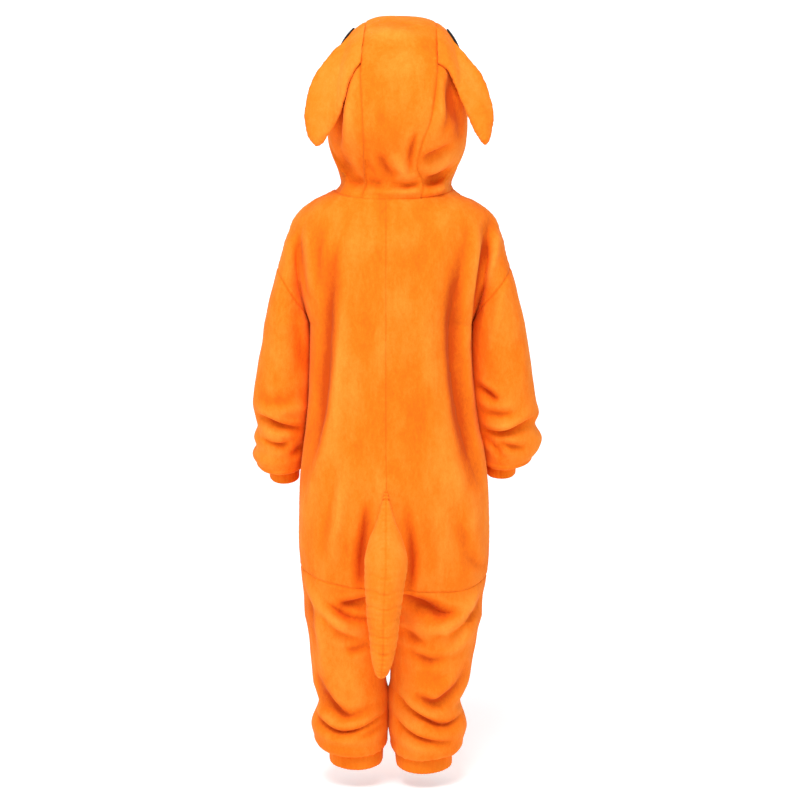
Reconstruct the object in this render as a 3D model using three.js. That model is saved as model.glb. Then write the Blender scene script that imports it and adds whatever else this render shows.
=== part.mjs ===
import * as THREE from 'three';

// Kangaroo onesie, hollow as worn, millimetres, +Z up. The back faces -Y, left is -X.
// The origin is the middle of the neck seam, between the shoulders.
const WALL = 3;
const SEAM_GAP = 0.3;
const LAID_GAP = 0.65;
const ARMPIT_Z = -190;
const ARMHOLE_TOP_Z = -104;
const ARMHOLE_RISE = 0.42;
const SHOULDER_TOP_Z = -14;
const SEAT_Z = -594;
const SEAT_RISE = 24;
const CROTCH_Z = -650;
const SQUARENESS = 0.1;
const ARM_HALF_DEPTH = 52;
const CREASE_ANGLE = 58;

// Neck seam height at the middle of the back, at the sides and at the throat
const NECK = { back: 3, side: 16, throat: -16 };

const COLUMNS = { trunk: 8, arm: 6 };
const ROWS = { lowerBody: 18, sleeve: 14, rise: 4, leg: 13, strip: 20 };
const UPPER_ROWS = [0, 0.05, 0.1, 0.16, 0.24, 0.34, 0.45, 0.57, 0.7, 0.84, 1];

const table = (names, rows) => rows.map((row) => Object.fromEntries(names.map((n, i) => [n, row[i]])));

// Outline over both shoulders, down to the armpits
const SHOULDERS = table(['z', 'left', 'right'], [
  [16, -92, 92], [7, -108, 105], [0, -122, 120], [-8, -134, 133], [-16, -144, 145],
  [-31, -156, 158], [-47, -162, 164], [-62, -169, 170], [-93, -178, 178], [-124, -186, 188],
  [-155, -194, 195], [-190, -201, 203],
]);

// Trunk sections: middle, side edges, back and front faces, depth at which it is widest
const TRUNK = table(['z', 'mid', 'left', 'right', 'back', 'front', 'widest'], [
  [20, -12, -96, 96, -62, 54, 0], [3, -12, -116, 114, -73, 60, 2], [-16, -12, -126, 121, -83, 66, 4],
  [-60, -12, -131, 122, -97, 82, 6], [-120, -12, -131, 121, -104, 92, 6],
  [-190, -12, -131, 121, -107, 97, 6], [-250, -12, -132, 122, -106, 100, 4],
  [-308, -12, -134, 127, -105, 101, 2], [-354, -12, -138, 133, -107, 102, 0],
  [-385, -12, -142, 140, -109, 102, -2], [-431, -11, -147, 146, -112, 103, -4],
  [-500, -11, -149, 149, -112, 102, -5], [-540, -10, -149, 149, -109, 100, -4],
  [-573, -10, -146, 147, -106, 98, -4], [-600, -10, -144, 143, -102, 96, -3],
  [-650, -10, -140, 138, -98, 92, -2],
]);

// Sleeve sections below the armpit: outer and inner edge, centre and half of the depth
const SLEEVE_COLUMNS = ['z', 'outer', 'inner', 'y', 'half'];
const SLEEVES = {
  left: table(SLEEVE_COLUMNS, [
    [-190, -201, -131, 6, 52], [-248, -210, -134, 8, 50], [-311, -220, -136.5, 11, 49],
    [-334, -216, -138.5, 14, 46], [-350, -213, -140, 18, 45], [-367, -219, -142.5, 23, 46],
    [-382, -216, -144.5, 27, 44], [-398, -222, -144.5, 31, 46], [-410, -216, -143, 34, 44],
  ]),
  right: table(SLEEVE_COLUMNS, [
    [-190, 203, 121, 6, 52], [-248, 213, 124.5, 8, 50], [-311, 223, 130, 11, 49],
    [-330, 227, 132.5, 14, 47], [-348, 222, 135.5, 18, 45], [-368, 232, 140, 23, 46],
    [-384, 229, 142.5, 27, 45], [-394, 224, 143, 30, 45], [-402, 217, 142.5, 32, 43],
  ]),
};

// Leg sections below the crotch
const LEGS = {
  left: table(SLEEVE_COLUMNS, [
    [-650, -140, -10, -2, 92], [-675, -135, -12.5, -2, 84], [-724, -131, -13, -1, 77],
    [-756, -128, -13, -1, 74], [-788, -119, -12.5, 0, 67], [-820, -130, -11, 0, 70],
    [-840, -126, -10.5, 0, 67],
  ]),
  right: table(SLEEVE_COLUMNS, [
    [-650, 138, -10, -2, 92], [-675, 132, -7, -2, 84], [-724, 124, -6.5, -1, 77],
    [-756, 118, -6.5, -1, 74], [-786, 105, -6, 0, 67], [-822, 115, -5.5, 0, 70], [-846, 109, -5.5, 0, 67],
  ]),
};

// The elastic bands at wrist and ankle: place, half sizes, height and forward tilt
const WRIST = {
  left: { x: -172, y: 36, halfX: 20.5, halfY: 27, height: 20 },
  right: { x: 170, y: 34, halfX: 19.5, halfY: 27, height: 20 },
};
const ANKLE = {
  left: { x: -59.5, y: -2, halfX: 41.5, halfY: 49, height: 27 },
  right: { x: 47, y: -2, halfX: 44, halfY: 50, height: 27 },
};
const FOREARM_TILT = { from: -250, to: -410, slope: 0.34 };
const ANKLE_TILT = { from: -780, to: -850, slope: 0.14 };

// How cloth rolls over a band: share of the way in to the band, and drop below the last section
const ROLL = table(['inward', 'drop'], [[0.06, 0.55], [0.36, 1], [0.72, 1.05], [1, 0.85]]);
const ROLL_DROP = { wrist: 13, ankle: 16 };

// Main creases (depth below 0) and ridges: face 1 is the back, -1 the front; points are x, z
const FOLDS = table(['face', 'width', 'depth', 'path'], [
  [1, 16, -8, [[-91, -88], [-101, -204], [-108, -300], [-118, -367], [-134, -426]]],
  [1, 16, 5, [[-79, -156], [-95, -300], [-112, -377], [-137, -510]]],
  [1, 16, -11, [[112, -67], [92, -174], [96, -256], [106, -326], [129, -424]]],
  [1, 13, 5, [[76, -150], [80, -285], [94, -383], [116, -475]]],
  [1, 14, 3, [[-73, -400], [-79, -444], [-91, -517], [-104, -552]]],
  [1, 13, -5, [[-45, -469], [-52, -501], [-57, -557]]],
  [1, 13, -5, [[27, -480], [34, -531], [32, -572]]],
  [1, 15, 6, [[-137, -588], [-112, -623], [-74, -658], [-54, -670]]],
  [1, 12, -7, [[-84, -614], [-40, -608]]],
  [1, 11, -5, [[-111, -617], [-74, -634], [-45, -638]]],
  [1, 14, -8, [[-122, -735], [-93, -780], [-70, -796], [-26, -782]]],
  [1, 11, -7, [[-124, -810], [-82, -820], [-36, -812], [-14, -803]]],
  [1, 14, -9, [[12, -605], [42, -612], [69, -626], [104, -628]]],
  [1, 15, 6, [[137, -594], [105, -633], [57, -666], [42, -677]]],
  [1, 12, -5, [[20, -691], [57, -706], [84, -702]]],
  [1, 13, -7, [[28, -763], [65, -776], [101, -749], [114, -727]]],
  [1, 12, -8, [[4, -768], [31, -789], [76, -809], [111, -804]]],
  [1, 11, -6, [[2, -812], [46, -834], [90, -840]]],
  [1, 11, -4, [[-215, -309], [-171, -311], [-143, -304]]],
  [1, 11, -7, [[-215, -334], [-170, -346], [-146, -353]]],
  [1, 11, -6, [[-212, -371], [-174, -378]]],
  [1, 13, -8, [[134, -290], [158, -307]]],
  [1, 11, -5, [[144, -328], [187, -329]]],
  [1, 11, -8, [[142, -357], [178, -353], [224, -334]]],
  [1, 11, -6, [[163, -375], [203, -386]]],
  [-1, 16, -7, [[-88, -110], [-96, -220], [-112, -330], [-128, -420]]],
  [-1, 16, 4, [[-70, -170], [-82, -300], [-104, -440]]],
  [-1, 16, -9, [[100, -90], [88, -190], [96, -290], [118, -400]]],
  [-1, 15, 5, [[-132, -600], [-100, -640], [-60, -668]]],
  [-1, 14, -7, [[130, -606], [88, -634], [40, -640]]],
  [-1, 13, -7, [[-112, -700], [-66, -712], [-28, -698]]],
  [-1, 14, -8, [[12, -716], [60, -736], [104, -722]]],
  [-1, 13, -8, [[-118, -776], [-72, -796], [-28, -786]]],
  [-1, 13, -8, [[8, -782], [56, -802], [104, -790]]],
  [-1, 12, -7, [[-206, -250], [-172, -268], [-150, -262]]],
  [-1, 12, -7, [[-212, -322], [-176, -334], [-152, -328]]],
  [-1, 12, -7, [[208, -244], [176, -262], [146, -254]]],
  [-1, 12, -7, [[222, -318], [184, -330], [154, -322]]],
]);

// Hood: an egg about this centre, its middle profile from the neck over the crown to the brow,
// and the x of the two strip seams along that profile
const HOOD = { x: 5, y: -10, z: 110, halfWidth: 107, power: { left: 2.6, right: 3.1 } };
const HOOD_WAIST = { z: 27, above: 42, below: 12, pull: 0.15 };
const HOOD_PROFILE = table(['y', 'z', 'left', 'right'], [
  [-73, 3, -51, 38], [-82, 25, -55, 52], [-99, 50, -52, 39], [-114, 84, -47, 43], [-123, 118, -47, 55],
  [-124, 160, -49, 62], [-112, 205, -51, 66], [-88, 240, -50, 66], [-52, 267, -45, 66],
  [-8, 280, -44, 64], [34, 276, -43, 62], [68, 259, -42, 59], [92, 232, -40, 56],
]);
const FACE_EDGE = table(['x', 'y', 'z'], [
  [66, 98, 210], [78, 101, 178], [84, 101, 142], [85, 98, 106], [81, 92, 70], [70, 82, 36], [50, 72, 8],
]);
const STRIP_COLUMNS = 3;
const THROAT_COLUMN = 26;
const SIDE_RINGS = [1, 0.88, 0.7, 0.42, 0];

// Ears: rows from the root to the tip, outer edge, inner edge and half thickness
const EAR_COLUMNS = ['outerX', 'outerZ', 'outerY', 'innerX', 'innerZ', 'innerY', 'half'];
const EARS = {
  left: table(EAR_COLUMNS, [
    [-47, 263, -36, -53, 208, -96, 2.5], [-64, 250, -44, -63, 196, -98, 4],
    [-90, 225, -62, -72, 177, -100, 6], [-113, 196, -76, -78, 155, -98, 7],
    [-127, 166, -84, -84, 134, -96, 7], [-133, 135, -88, -92, 116, -95, 7],
    [-132, 108, -90, -99, 100, -94, 6], [-126, 91, -92, -107, 89, -94, 4], [-118, 84, -93, -113, 84, -93, 2],
  ]),
  right: table(EAR_COLUMNS, [
    [68, 261, -36, 69, 206, -96, 2.5], [84, 248, -44, 82, 196, -98, 4],
    [109, 219, -62, 92, 172, -100, 6], [130, 189, -76, 101, 151, -98, 7],
    [143, 159, -84, 110, 131, -96, 7], [149, 130, -88, 117, 114, -95, 7],
    [148, 106, -90, 124, 100, -94, 6], [143, 93, -92, 131, 91, -94, 4], [139, 87, -93, 134, 87, -93, 2],
  ]),
};
const EAR = { seam: 0.8, rootClearance: 0.6, clearance: 3, across: 6 };

// Tail: horizontal sections from the root's top to the tip
const TAIL = table(['z', 'mid', 'half', 'back', 'front'], [
  [-440, -12, 2, -118, -113], [-460, -12, 7, -122, -113], [-478, -12, 12.5, -130, -112],
  [-494, -12, 19, -140, -112], [-508, -12, 25, -151, -111], [-522, -12, 29.5, -161, -110],
  [-537, -12, 32.5, -169, -110], [-552, -12, 32.5, -173, -109], [-575, -14, 31, -175, -109],
  [-600, -15, 28.3, -173, -112], [-629, -16, 25.2, -170, -115], [-660, -16, 22, -166, -119],
  [-688, -17, 17.5, -161, -124], [-704, -18, 13.5, -157, -128], [-714, -18.5, 9.5, -153, -132],
  [-719, -19, 5, -149, -137],
]);

const TAIL_ACROSS = 6;
const TAIL_SEAM = 0.95;
const TAIL_CLEARANCE = 0.8;

const STRIP_ROWS = 18;
const STRIP = { halfWidth: 14, top: -34, bottom: -520, thick: 2.4 };
const BUTTONS = { count: 5, radius: 9, thick: 3.6, first: -62, step: -104, rise: 0.5 };
const EYE = { along: 9.6, alongHalf: 0.85, across: { left: 77, right: 85 }, acrossHalf: 10.5 };
const EYE_PATCH = { thick: 1.6, lift: 0.5 };

const FLEECE = { color: 0xf2801f, roughness: 0.95, metalness: 0 };
const FELT = { color: 0x101012, roughness: 0.85, metalness: 0 };
const BUTTON = { color: 0xe8761a, roughness: 0.4, metalness: 0 };

const group = new THREE.Group();
const rad = THREE.MathUtils.degToRad;
const lerp = THREE.MathUtils.lerp;
const clamp = THREE.MathUtils.clamp;
const mix = (p, q, t) => p.map((value, i) => lerp(value, q[i], t));
const range = (n) => Array.from({ length: n + 1 }, (_, i) => i);

// One row of a table at a real-valued place, on a smooth curve through its rows
function rowAt(rows, place) {
  const i = clamp(Math.floor(place), 0, rows.length - 2);
  const t = place - i;
  const around = [rows[Math.max(i - 1, 0)], rows[i], rows[i + 1], rows[Math.min(i + 2, rows.length - 1)]];
  const value = {};
  for (const name of Object.keys(rows[0])) {
    const [a, b, c, d] = around.map((row) => row[name]);
    const bend = (2 * a - 5 * b + 4 * c - d) * t ** 2 + (3 * b - a - 3 * c + d) * t ** 3;
    value[name] = (2 * b + (c - a) * t + bend) / 2;
  }
  return value;
}

// One row of a table at a height, on a smooth curve through its rows
function sectionAt(rows, z) {
  const found = rows.findIndex((row) => row.z <= z);
  const i = found < 0 ? rows.length - 2 : clamp(found - 1, 0, rows.length - 2);
  const [above, below] = [rows[i], rows[i + 1]];
  const before = rows[Math.max(i - 1, 0)];
  const after = rows[Math.min(i + 2, rows.length - 1)];
  const step = below.z - above.z;
  const t = clamp((z - above.z) / step, 0, 1);
  const value = {};
  for (const name of Object.keys(above)) {
    const startSlope = ((below[name] - before[name]) / (below.z - before.z)) * step;
    const endSlope = ((after[name] - above[name]) / (after.z - above.z)) * step;
    value[name] = (2 * t ** 3 - 3 * t ** 2 + 1) * above[name] + (t ** 3 - 2 * t ** 2 + t) * startSlope
      + (3 * t ** 2 - 2 * t ** 3) * below[name] + (t ** 3 - t ** 2) * endSlope;
  }
  return value;
}

// Signed depth of the creases and ridges at a point of the cloth
function foldDepth([x, , z], facing) {
  let depth = 0;
  for (const fold of FOLDS) {
    const share = THREE.MathUtils.smoothstep(facing * fold.face, 0, 0.4);
    if (share === 0) continue;
    let nearest = Infinity;
    let along = 0;
    const last = fold.path.length - 1;
    for (let i = 0; i < last; i += 1) {
      const [ax, az] = fold.path[i];
      const [bx, bz] = fold.path[i + 1];
      const reach = (x - ax) * (bx - ax) + (z - az) * (bz - az);
      const t = clamp(reach / ((bx - ax) ** 2 + (bz - az) ** 2), 0, 1);
      const distance = Math.hypot(x - lerp(ax, bx, t), z - lerp(az, bz, t));
      if (distance < nearest) {
        nearest = distance;
        along = (i + t) / last;
      }
    }
    const taper = 0.35 + 0.65 * Math.sin(Math.PI * along);
    depth += fold.depth * share * taper * Math.exp(-2 * (nearest / fold.width) ** 2);
  }
  return depth;
}

// A point of an oval, moved in or out by the folds; angle 0 is the back, 180 the front
function ovalPoint(oval, side, angle, z) {
  const a = rad(angle);
  const [sin, cos] = [Math.sin(a), Math.cos(a)];
  const depth = cos > 0 ? oval.widest - oval.back : oval.front - oval.widest;
  const width = Math.abs(oval.edge - oval.mid);
  const x = oval.mid + side * width * sin * (1 + SQUARENESS * cos * cos);
  const y = oval.widest - depth * cos * (1 + SQUARENESS * sin * sin);
  return [x, y, z];
}

function pushFolds(p, centreX, centreY, halfX, halfY) {
  const facing = (centreY - p[1]) / halfY;
  const nx = (p[0] - centreX) / halfX ** 2;
  const ny = (p[1] - centreY) / halfY ** 2;
  const move = foldDepth(p, facing) / Math.hypot(nx, ny);
  return [p[0] + nx * move, p[1] + ny * move, p[2]];
}

const sideName = (side) => (side < 0 ? 'left' : 'right');

function trunkOval(side, z) {
  const row = sectionAt(TRUNK, z);
  return { ...row, edge: row[sideName(side)] };
}

function trunkPoint(side, angle, z) {
  const oval = trunkOval(side, z);
  const p = ovalPoint(oval, side, angle, z);
  return pushFolds(p, oval.mid, oval.widest, Math.abs(oval.edge - oval.mid), 100);
}

// Angle on the shoulders' wide oval for a span: 0 to 1 is the back, 1 to 2 the arm, 2 to 3 the front
const spanAngle = (span) => {
  if (span <= 1) return CREASE_ANGLE * span;
  return span >= 2 ? 180 - CREASE_ANGLE * (3 - span) : CREASE_ANGLE + (180 - 2 * CREASE_ANGLE) * (span - 1);
};

// Trunk and upper arm together, by span and height.
// The section is one wide oval at the shoulders and parts into trunk and arm at the armpit.
function upperPoint(side, span, z) {
  const trunk = trunkOval(side, z);
  const shoulder = sectionAt(SHOULDERS, z)[sideName(side)];
  const wide = { ...trunk, edge: shoulder };
  const parted = clamp((SHOULDER_TOP_Z - z) / (SHOULDER_TOP_Z - ARMPIT_Z), 0, 1) ** 1.4;
  const onArm = span > 1 && span < 2;
  const wideOval = ovalPoint(wide, side, spanAngle(span), z);
  const arm = z >= ARMPIT_Z
    ? { outer: shoulder, inner: trunk.edge, y: trunk.widest, half: ARM_HALF_DEPTH }
    : sectionAt(SLEEVES[sideName(side)], z);
  const partedPoint = onArm
    ? tubePoint(arm, 360 * (span - 1), z)
    : ovalPoint(trunk, side, span <= 1 ? 90 * span : 90 * (span - 1), z);
  const p = mix(wideOval, partedPoint, parted);
  const halfX = Math.abs(lerp(shoulder, trunk.edge, parted) - trunk.mid) + 40;
  return pushFolds(p, trunk.mid, trunk.widest, halfX, 100);
}

// A tube's oval: turn 0 is its inner edge, 90 the back, 180 the outer edge, 270 the front
function tubePoint(tube, turn, z) {
  const t = rad(turn);
  const centre = (tube.outer + tube.inner) / 2;
  const half = (tube.inner - tube.outer) / 2;
  return [centre + half * Math.cos(t), tube.y - tube.half * Math.sin(t), z];
}

function foldedTubePoint(tube, turn, z) {
  const centre = (tube.outer + tube.inner) / 2;
  const halfX = Math.abs(tube.inner - tube.outer) / 2;
  return pushFolds(tubePoint(tube, turn, z), centre, tube.y, halfX, tube.half);
}

function tilted(p, tilt, centreY) {
  const share = clamp((tilt.from - p[2]) / (tilt.from - tilt.to), 0, 1);
  return [p[0], p[1], p[2] + share * tilt.slope * (p[1] - centreY)];
}

const neckZ = (angle) => {
  const cos = Math.cos(rad(angle));
  return NECK.side + (cos > 0 ? NECK.back - NECK.side : NECK.throat - NECK.side) * cos * cos;
};
const seatZ = (angle) => SEAT_Z + SEAT_RISE * Math.sin(rad(angle)) ** 2;

// The armhole is a slanted cut, highest on the outside of the arm
const armholeZ = (span) => {
  const outward = (1 - Math.cos(2 * Math.PI * (span - 1))) / 2;
  return ARMPIT_Z + (ARMHOLE_TOP_Z - ARMPIT_Z) * Math.max(outward, 0) ** ARMHOLE_RISE;
};

const CLOTH = [];
const quadFaces = ([a, b, c, d], flip) => (flip ? [[a, c, b], [a, d, c]] : [[a, b, c], [a, c, d]]);

// A cut piece: grids of points whose shared points are welded, faces turned outwards
function cloth(name, finish, grids) {
  const piece = { name, finish, points: [], faces: [] };
  const index = new Map();
  const add = (p) => {
    const key = pointKey(p);
    if (!index.has(key)) {
      index.set(key, piece.points.length);
      piece.points.push(p);
    }
    return index.get(key);
  };
  for (const { rows, flip } of grids) {
    const ids = rows.map((row) => row.map(add));
    for (let j = 0; j + 1 < ids.length; j += 1) {
      for (let i = 0; i + 1 < ids[j].length; i += 1) {
        const quad = [ids[j][i], ids[j][i + 1], ids[j + 1][i + 1], ids[j + 1][i]];
        for (const face of quadFaces(quad, flip)) {
          if (new Set(face).size === 3) piece.faces.push(face);
        }
      }
    }
  }
  CLOTH.push(piece);
}

function pointKey(p) {
  return p.map((value) => Math.round(value * 200)).join(' ');
}

const minus = (p, q) => p.map((value, i) => value - q[i]);
const plus = (p, q, scale = 1) => p.map((value, i) => value + q[i] * scale);
const dot = (p, q) => p[0] * q[0] + p[1] * q[1] + p[2] * q[2];
const cross = (p, q) => [p[1] * q[2] - p[2] * q[1], p[2] * q[0] - p[0] * q[2], p[0] * q[1] - p[1] * q[0]];
const unit = (p) => {
  const length = Math.hypot(...p) || 1;
  return p.map((value) => value / length);
};

// Directions out of the cloth at every point, shared by the pieces that meet there
function sharedNormals() {
  const sums = new Map();
  for (const piece of CLOTH) {
    for (const face of piece.faces) {
      const [a, b, c] = face.map((i) => piece.points[i]);
      const normal = cross(minus(b, a), minus(c, a));
      for (const p of [a, b, c]) {
        const key = pointKey(p);
        sums.set(key, plus(sums.get(key) ?? [0, 0, 0], normal));
      }
    }
  }
  return sums;
}

function boundaryEdges(faces) {
  const edges = new Map();
  for (const [a, b, c] of faces) {
    for (const [from, to] of [[a, b], [b, c], [c, a]]) {
      if (!edges.delete(`${to} ${from}`)) edges.set(`${from} ${to}`, [from, to]);
    }
  }
  return [...edges.values()];
}

// Draws the piece's edges back by half a seam gap, in its own face
function drawnBack(piece, normals) {
  const inward = new Map();
  for (const [from, to] of boundaryEdges(piece.faces)) {
    const along = minus(piece.points[to], piece.points[from]);
    const middle = unit(plus(normals[from], normals[to]));
    const direction = unit(cross(middle, along));
    for (const i of [from, to]) inward.set(i, [...(inward.get(i) ?? []), direction]);
  }
  return piece.points.map((p, i) => {
    const edges = inward.get(i);
    if (!edges) return p;
    const sum = edges.reduce((total, d) => plus(total, d));
    const share = edges.length > 1 ? 1 + dot(edges[0], edges[1]) : 1;
    return plus(p, sum, (SEAM_GAP / 2) / Math.max(share, 0.5));
  });
}

// An order of points that two pieces agree on, so that facing edges are split the same way
const rank = ([x, y, z]) => x + 0.37 * y + 1.7 * z;

// A closed body between an outer and an inner sheet with the same faces
function closedBody(name, finish, outer, inner, faces) {
  const offset = outer.length;
  const all = [...faces, ...faces.map(([a, b, c]) => [a + offset, c + offset, b + offset])];
  for (const [from, to] of boundaryEdges(faces)) {
    const [a, b] = [from + offset, to + offset];
    if (rank(outer[from]) < rank(outer[to])) all.push([to, from, a], [to, a, b]);
    else all.push([to, from, b], [from, a, b]);
  }
  const geometry = new THREE.BufferGeometry();
  geometry.setAttribute('position', new THREE.Float32BufferAttribute([...outer, ...inner].flat(), 3));
  geometry.setIndex(all.flat());
  geometry.computeVertexNormals();
  const mesh = new THREE.Mesh(geometry, new THREE.MeshStandardMaterial(finish));
  mesh.name = name;
  group.add(mesh);
}

function sewAll() {
  const normals = sharedNormals();
  for (const piece of CLOTH) {
    const out = piece.points.map((p) => unit(normals.get(pointKey(p))));
    const outer = drawnBack(piece, out);
    const inner = outer.map((p, i) => plus(p, out[i], -WALL));
    closedBody(piece.name, piece.finish, outer, inner, piece.faces);
  }
}

// A pad or patch between two grids of points; faces look away from the second grid
function slab(name, finish, outerRows, innerRows, flip) {
  const width = outerRows[0].length;
  const faces = [];
  for (let j = 0; j + 1 < outerRows.length; j += 1) {
    for (let i = 0; i + 1 < width; i += 1) {
      const quad = [j * width + i, j * width + i + 1, (j + 1) * width + i + 1, (j + 1) * width + i];
      faces.push(...quadFaces(quad, flip));
    }
  }
  closedBody(name, finish, outerRows.flat(), innerRows.flat(), faces);
}

// Body: backs and fronts from the neck to the seat seam, each with its half of the shoulder cap
const trunkSpans = range(COLUMNS.trunk).map((i) => i / COLUMNS.trunk);
const armSpans = range(2 * COLUMNS.arm).map((i) => 1 + i / (2 * COLUMNS.arm));
const neckPoint = (side, span) => upperPoint(side, span, neckZ(spanAngle(span)));

function upperRows(side, spans) {
  return UPPER_ROWS.map((t) => spans.map((span) => {
    const top = neckZ(spanAngle(span));
    const bottom = span > 1 && span < 2 ? armholeZ(span) : ARMPIT_Z;
    return upperPoint(side, span, lerp(top, bottom, t));
  }));
}

function lowerRows(side, angles) {
  return range(ROWS.lowerBody).map((j) => angles.map((angle) => {
    const z = lerp(ARMPIT_Z, seatZ(angle), j / ROWS.lowerBody);
    const span = angle <= 90 ? angle / 90 : 1 + angle / 90;
    return j === 0 ? upperPoint(side, span, z) : trunkPoint(side, angle, z);
  }));
}

function makeBody(side) {
  const flip = side > 0;
  const frontSpans = trunkSpans.map((span) => span + 2);
  const backArm = armSpans.slice(0, COLUMNS.arm + 1);
  const frontArm = armSpans.slice(COLUMNS.arm);
  cloth(`back_${sideName(side)}`, FLEECE, [
    { rows: upperRows(side, trunkSpans), flip },
    { rows: upperRows(side, backArm), flip },
    { rows: lowerRows(side, trunkSpans.map((span) => 90 * span)), flip },
  ]);
  cloth(`front_${sideName(side)}`, FLEECE, [
    { rows: upperRows(side, frontSpans), flip },
    { rows: upperRows(side, frontArm), flip },
    { rows: lowerRows(side, trunkSpans.map((span) => 90 + 90 * span)), flip },
  ]);
}

// Rings where a tube rolls over its band, and the rings of the band itself
function rollRings(last, band, drop, turns, z) {
  const tube = { outer: band.x + Math.sign(last.outer - band.x) * band.halfX,
    inner: band.x - Math.sign(last.outer - band.x) * band.halfX, y: band.y, half: band.halfY };
  return ROLL.map((row) => turns.map((turn) => {
    const height = z - row.drop * drop;
    return mix(tubePoint(last, turn, height), tubePoint(tube, turn, height), row.inward);
  }));
}

function bandRings(topRing, height) {
  return [0, 0.5, 1].map((t) => topRing.map(([x, y, z]) => [x, y, z - height * t]));
}

function makeTube(side, name, bandName, mainRows, last, band, drop, turns, tilt, lastZ) {
  const flip = side > 0;
  const tilt3 = (p) => tilted(p, tilt, last.y);
  const rolled = rollRings(last, band, drop, turns, lastZ);
  const rows = [...mainRows, ...rolled].map((row) => row.map(tilt3));
  cloth(name, FLEECE, [{ rows, flip }]);
  cloth(bandName, FLEECE, [{ rows: bandRings(rows[rows.length - 1], band.height), flip }]);
}

function makeSleeve(side) {
  const sections = SLEEVES[sideName(side)];
  const last = sections[sections.length - 1];
  const mainRows = range(ROWS.sleeve).map((j) => armSpans.map((span) => {
    const closed = span === 2 ? 1 : span;
    const z = lerp(armholeZ(closed), last.z, j / ROWS.sleeve);
    if (closed === 1 && j === 0) return upperPoint(side, 1, ARMPIT_Z);
    if (z >= ARMPIT_Z) return upperPoint(side, closed, z);
    return foldedTubePoint(sectionAt(sections, z), 360 * (closed - 1), z);
  }));
  const turns = armSpans.map((span) => (span === 2 ? 0 : 360 * (span - 1)));
  makeTube(side, `sleeve_${sideName(side)}`, `wrist_band_${sideName(side)}`, mainRows, last,
    WRIST[sideName(side)], ROLL_DROP.wrist, turns, FOREARM_TILT, last.z);
}

// Legs: half of the trunk's oval at the seat seam, closing to a tube at the crotch
function legPoint(side, turn, z) {
  const parted = clamp((SEAT_Z - z) / (SEAT_Z - CROTCH_Z), 0, 1) ** 1.3;
  const sections = LEGS[sideName(side)];
  const tube = sectionAt(sections, z);
  if (z <= CROTCH_Z) return foldedTubePoint(tube, turn === 360 ? 0 : turn, z);
  const trunk = trunkOval(side, z);
  const p = mix(ovalPoint(trunk, side, turn / 2, z), tubePoint(tube, turn, z), parted);
  const halfX = Math.abs(trunk.edge - trunk.mid);
  return pushFolds(p, trunk.mid, trunk.widest, halfX, 100);
}

function makeLeg(side) {
  const sections = LEGS[sideName(side)];
  const last = sections[sections.length - 1];
  const turns = range(2 * COLUMNS.trunk).map((i) => (180 * i) / COLUMNS.trunk);
  const rise = range(ROWS.rise).map((j) => turns.map((turn) => {
    const z = lerp(seatZ(turn / 2), CROTCH_Z, j / ROWS.rise);
    return j === 0 ? trunkPoint(side, turn / 2, z) : legPoint(side, turn, z);
  }));
  const tube = range(ROWS.leg).slice(1).map((j) => turns.map((turn) => (
    legPoint(side, turn, lerp(CROTCH_Z, last.z, j / ROWS.leg))
  )));
  const closedTurns = turns.map((turn) => (turn === 360 ? 0 : turn));
  makeTube(side, `leg_${sideName(side)}`, `ankle_band_${sideName(side)}`, [...rise, ...tube], last,
    ANKLE[sideName(side)], ROLL_DROP.ankle, closedTurns, ANKLE_TILT, last.z);
}

// Hood: a point of the egg at a place along the profile and a given x
function hoodPoint(place, x) {
  const row = rowAt(HOOD_PROFILE, place);
  const power = HOOD.power[sideName(x - HOOD.x)];
  const reach = Math.abs(x - HOOD.x) / HOOD.halfWidth;
  const share = (1 - reach ** power) ** (1 / power);
  return waisted([x, lerp(HOOD.y, row.y, share), lerp(HOOD.z, row.z, share)]);
}

// The hood is drawn in just above its seam to the neck
function waisted([x, y, z]) {
  const reach = z > HOOD_WAIST.z ? HOOD_WAIST.above : HOOD_WAIST.below;
  const keep = 1 - HOOD_WAIST.pull * Math.exp(-(((z - HOOD_WAIST.z) / reach) ** 2));
  return [HOOD.x + (x - HOOD.x) * keep, HOOD.y + (y - HOOD.y) * keep, z];
}

// The side panel between its edge and the middle of the side of the hood
function sidePoint(side, edge, share) {
  if (share === 1) return edge;
  const reach = Math.min(Math.abs(edge[0] - HOOD.x) / HOOD.halfWidth, 0.999);
  const power = HOOD.power[sideName(side)];
  const out = (1 - (1 - reach ** power) * share ** power) ** (1 / power);
  const x = HOOD.x + side * HOOD.halfWidth * out;
  return waisted([x, lerp(HOOD.y, edge[1], share), lerp(HOOD.z, edge[2], share)]);
}

const neckSpans = [...trunkSpans, ...armSpans.slice(1), ...trunkSpans.slice(1).map((span) => span + 2)];
const stripPlace = (row) => (row * (HOOD_PROFILE.length - 1)) / ROWS.strip;

function makeHoodStrip() {
  const columns = range(2 * STRIP_COLUMNS);
  const rows = range(ROWS.strip).map((j) => columns.map((i) => {
    const k = i - STRIP_COLUMNS;
    if (j === 0) return neckPoint(Math.sign(k) || 1, neckSpans[Math.abs(k)]);
    const row = rowAt(HOOD_PROFILE, stripPlace(j));
    return hoodPoint(stripPlace(j), lerp(row.left, row.right, i / (2 * STRIP_COLUMNS)));
  }));
  cloth('hood_centre', FLEECE, [{ rows, flip: false }]);
}

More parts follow.
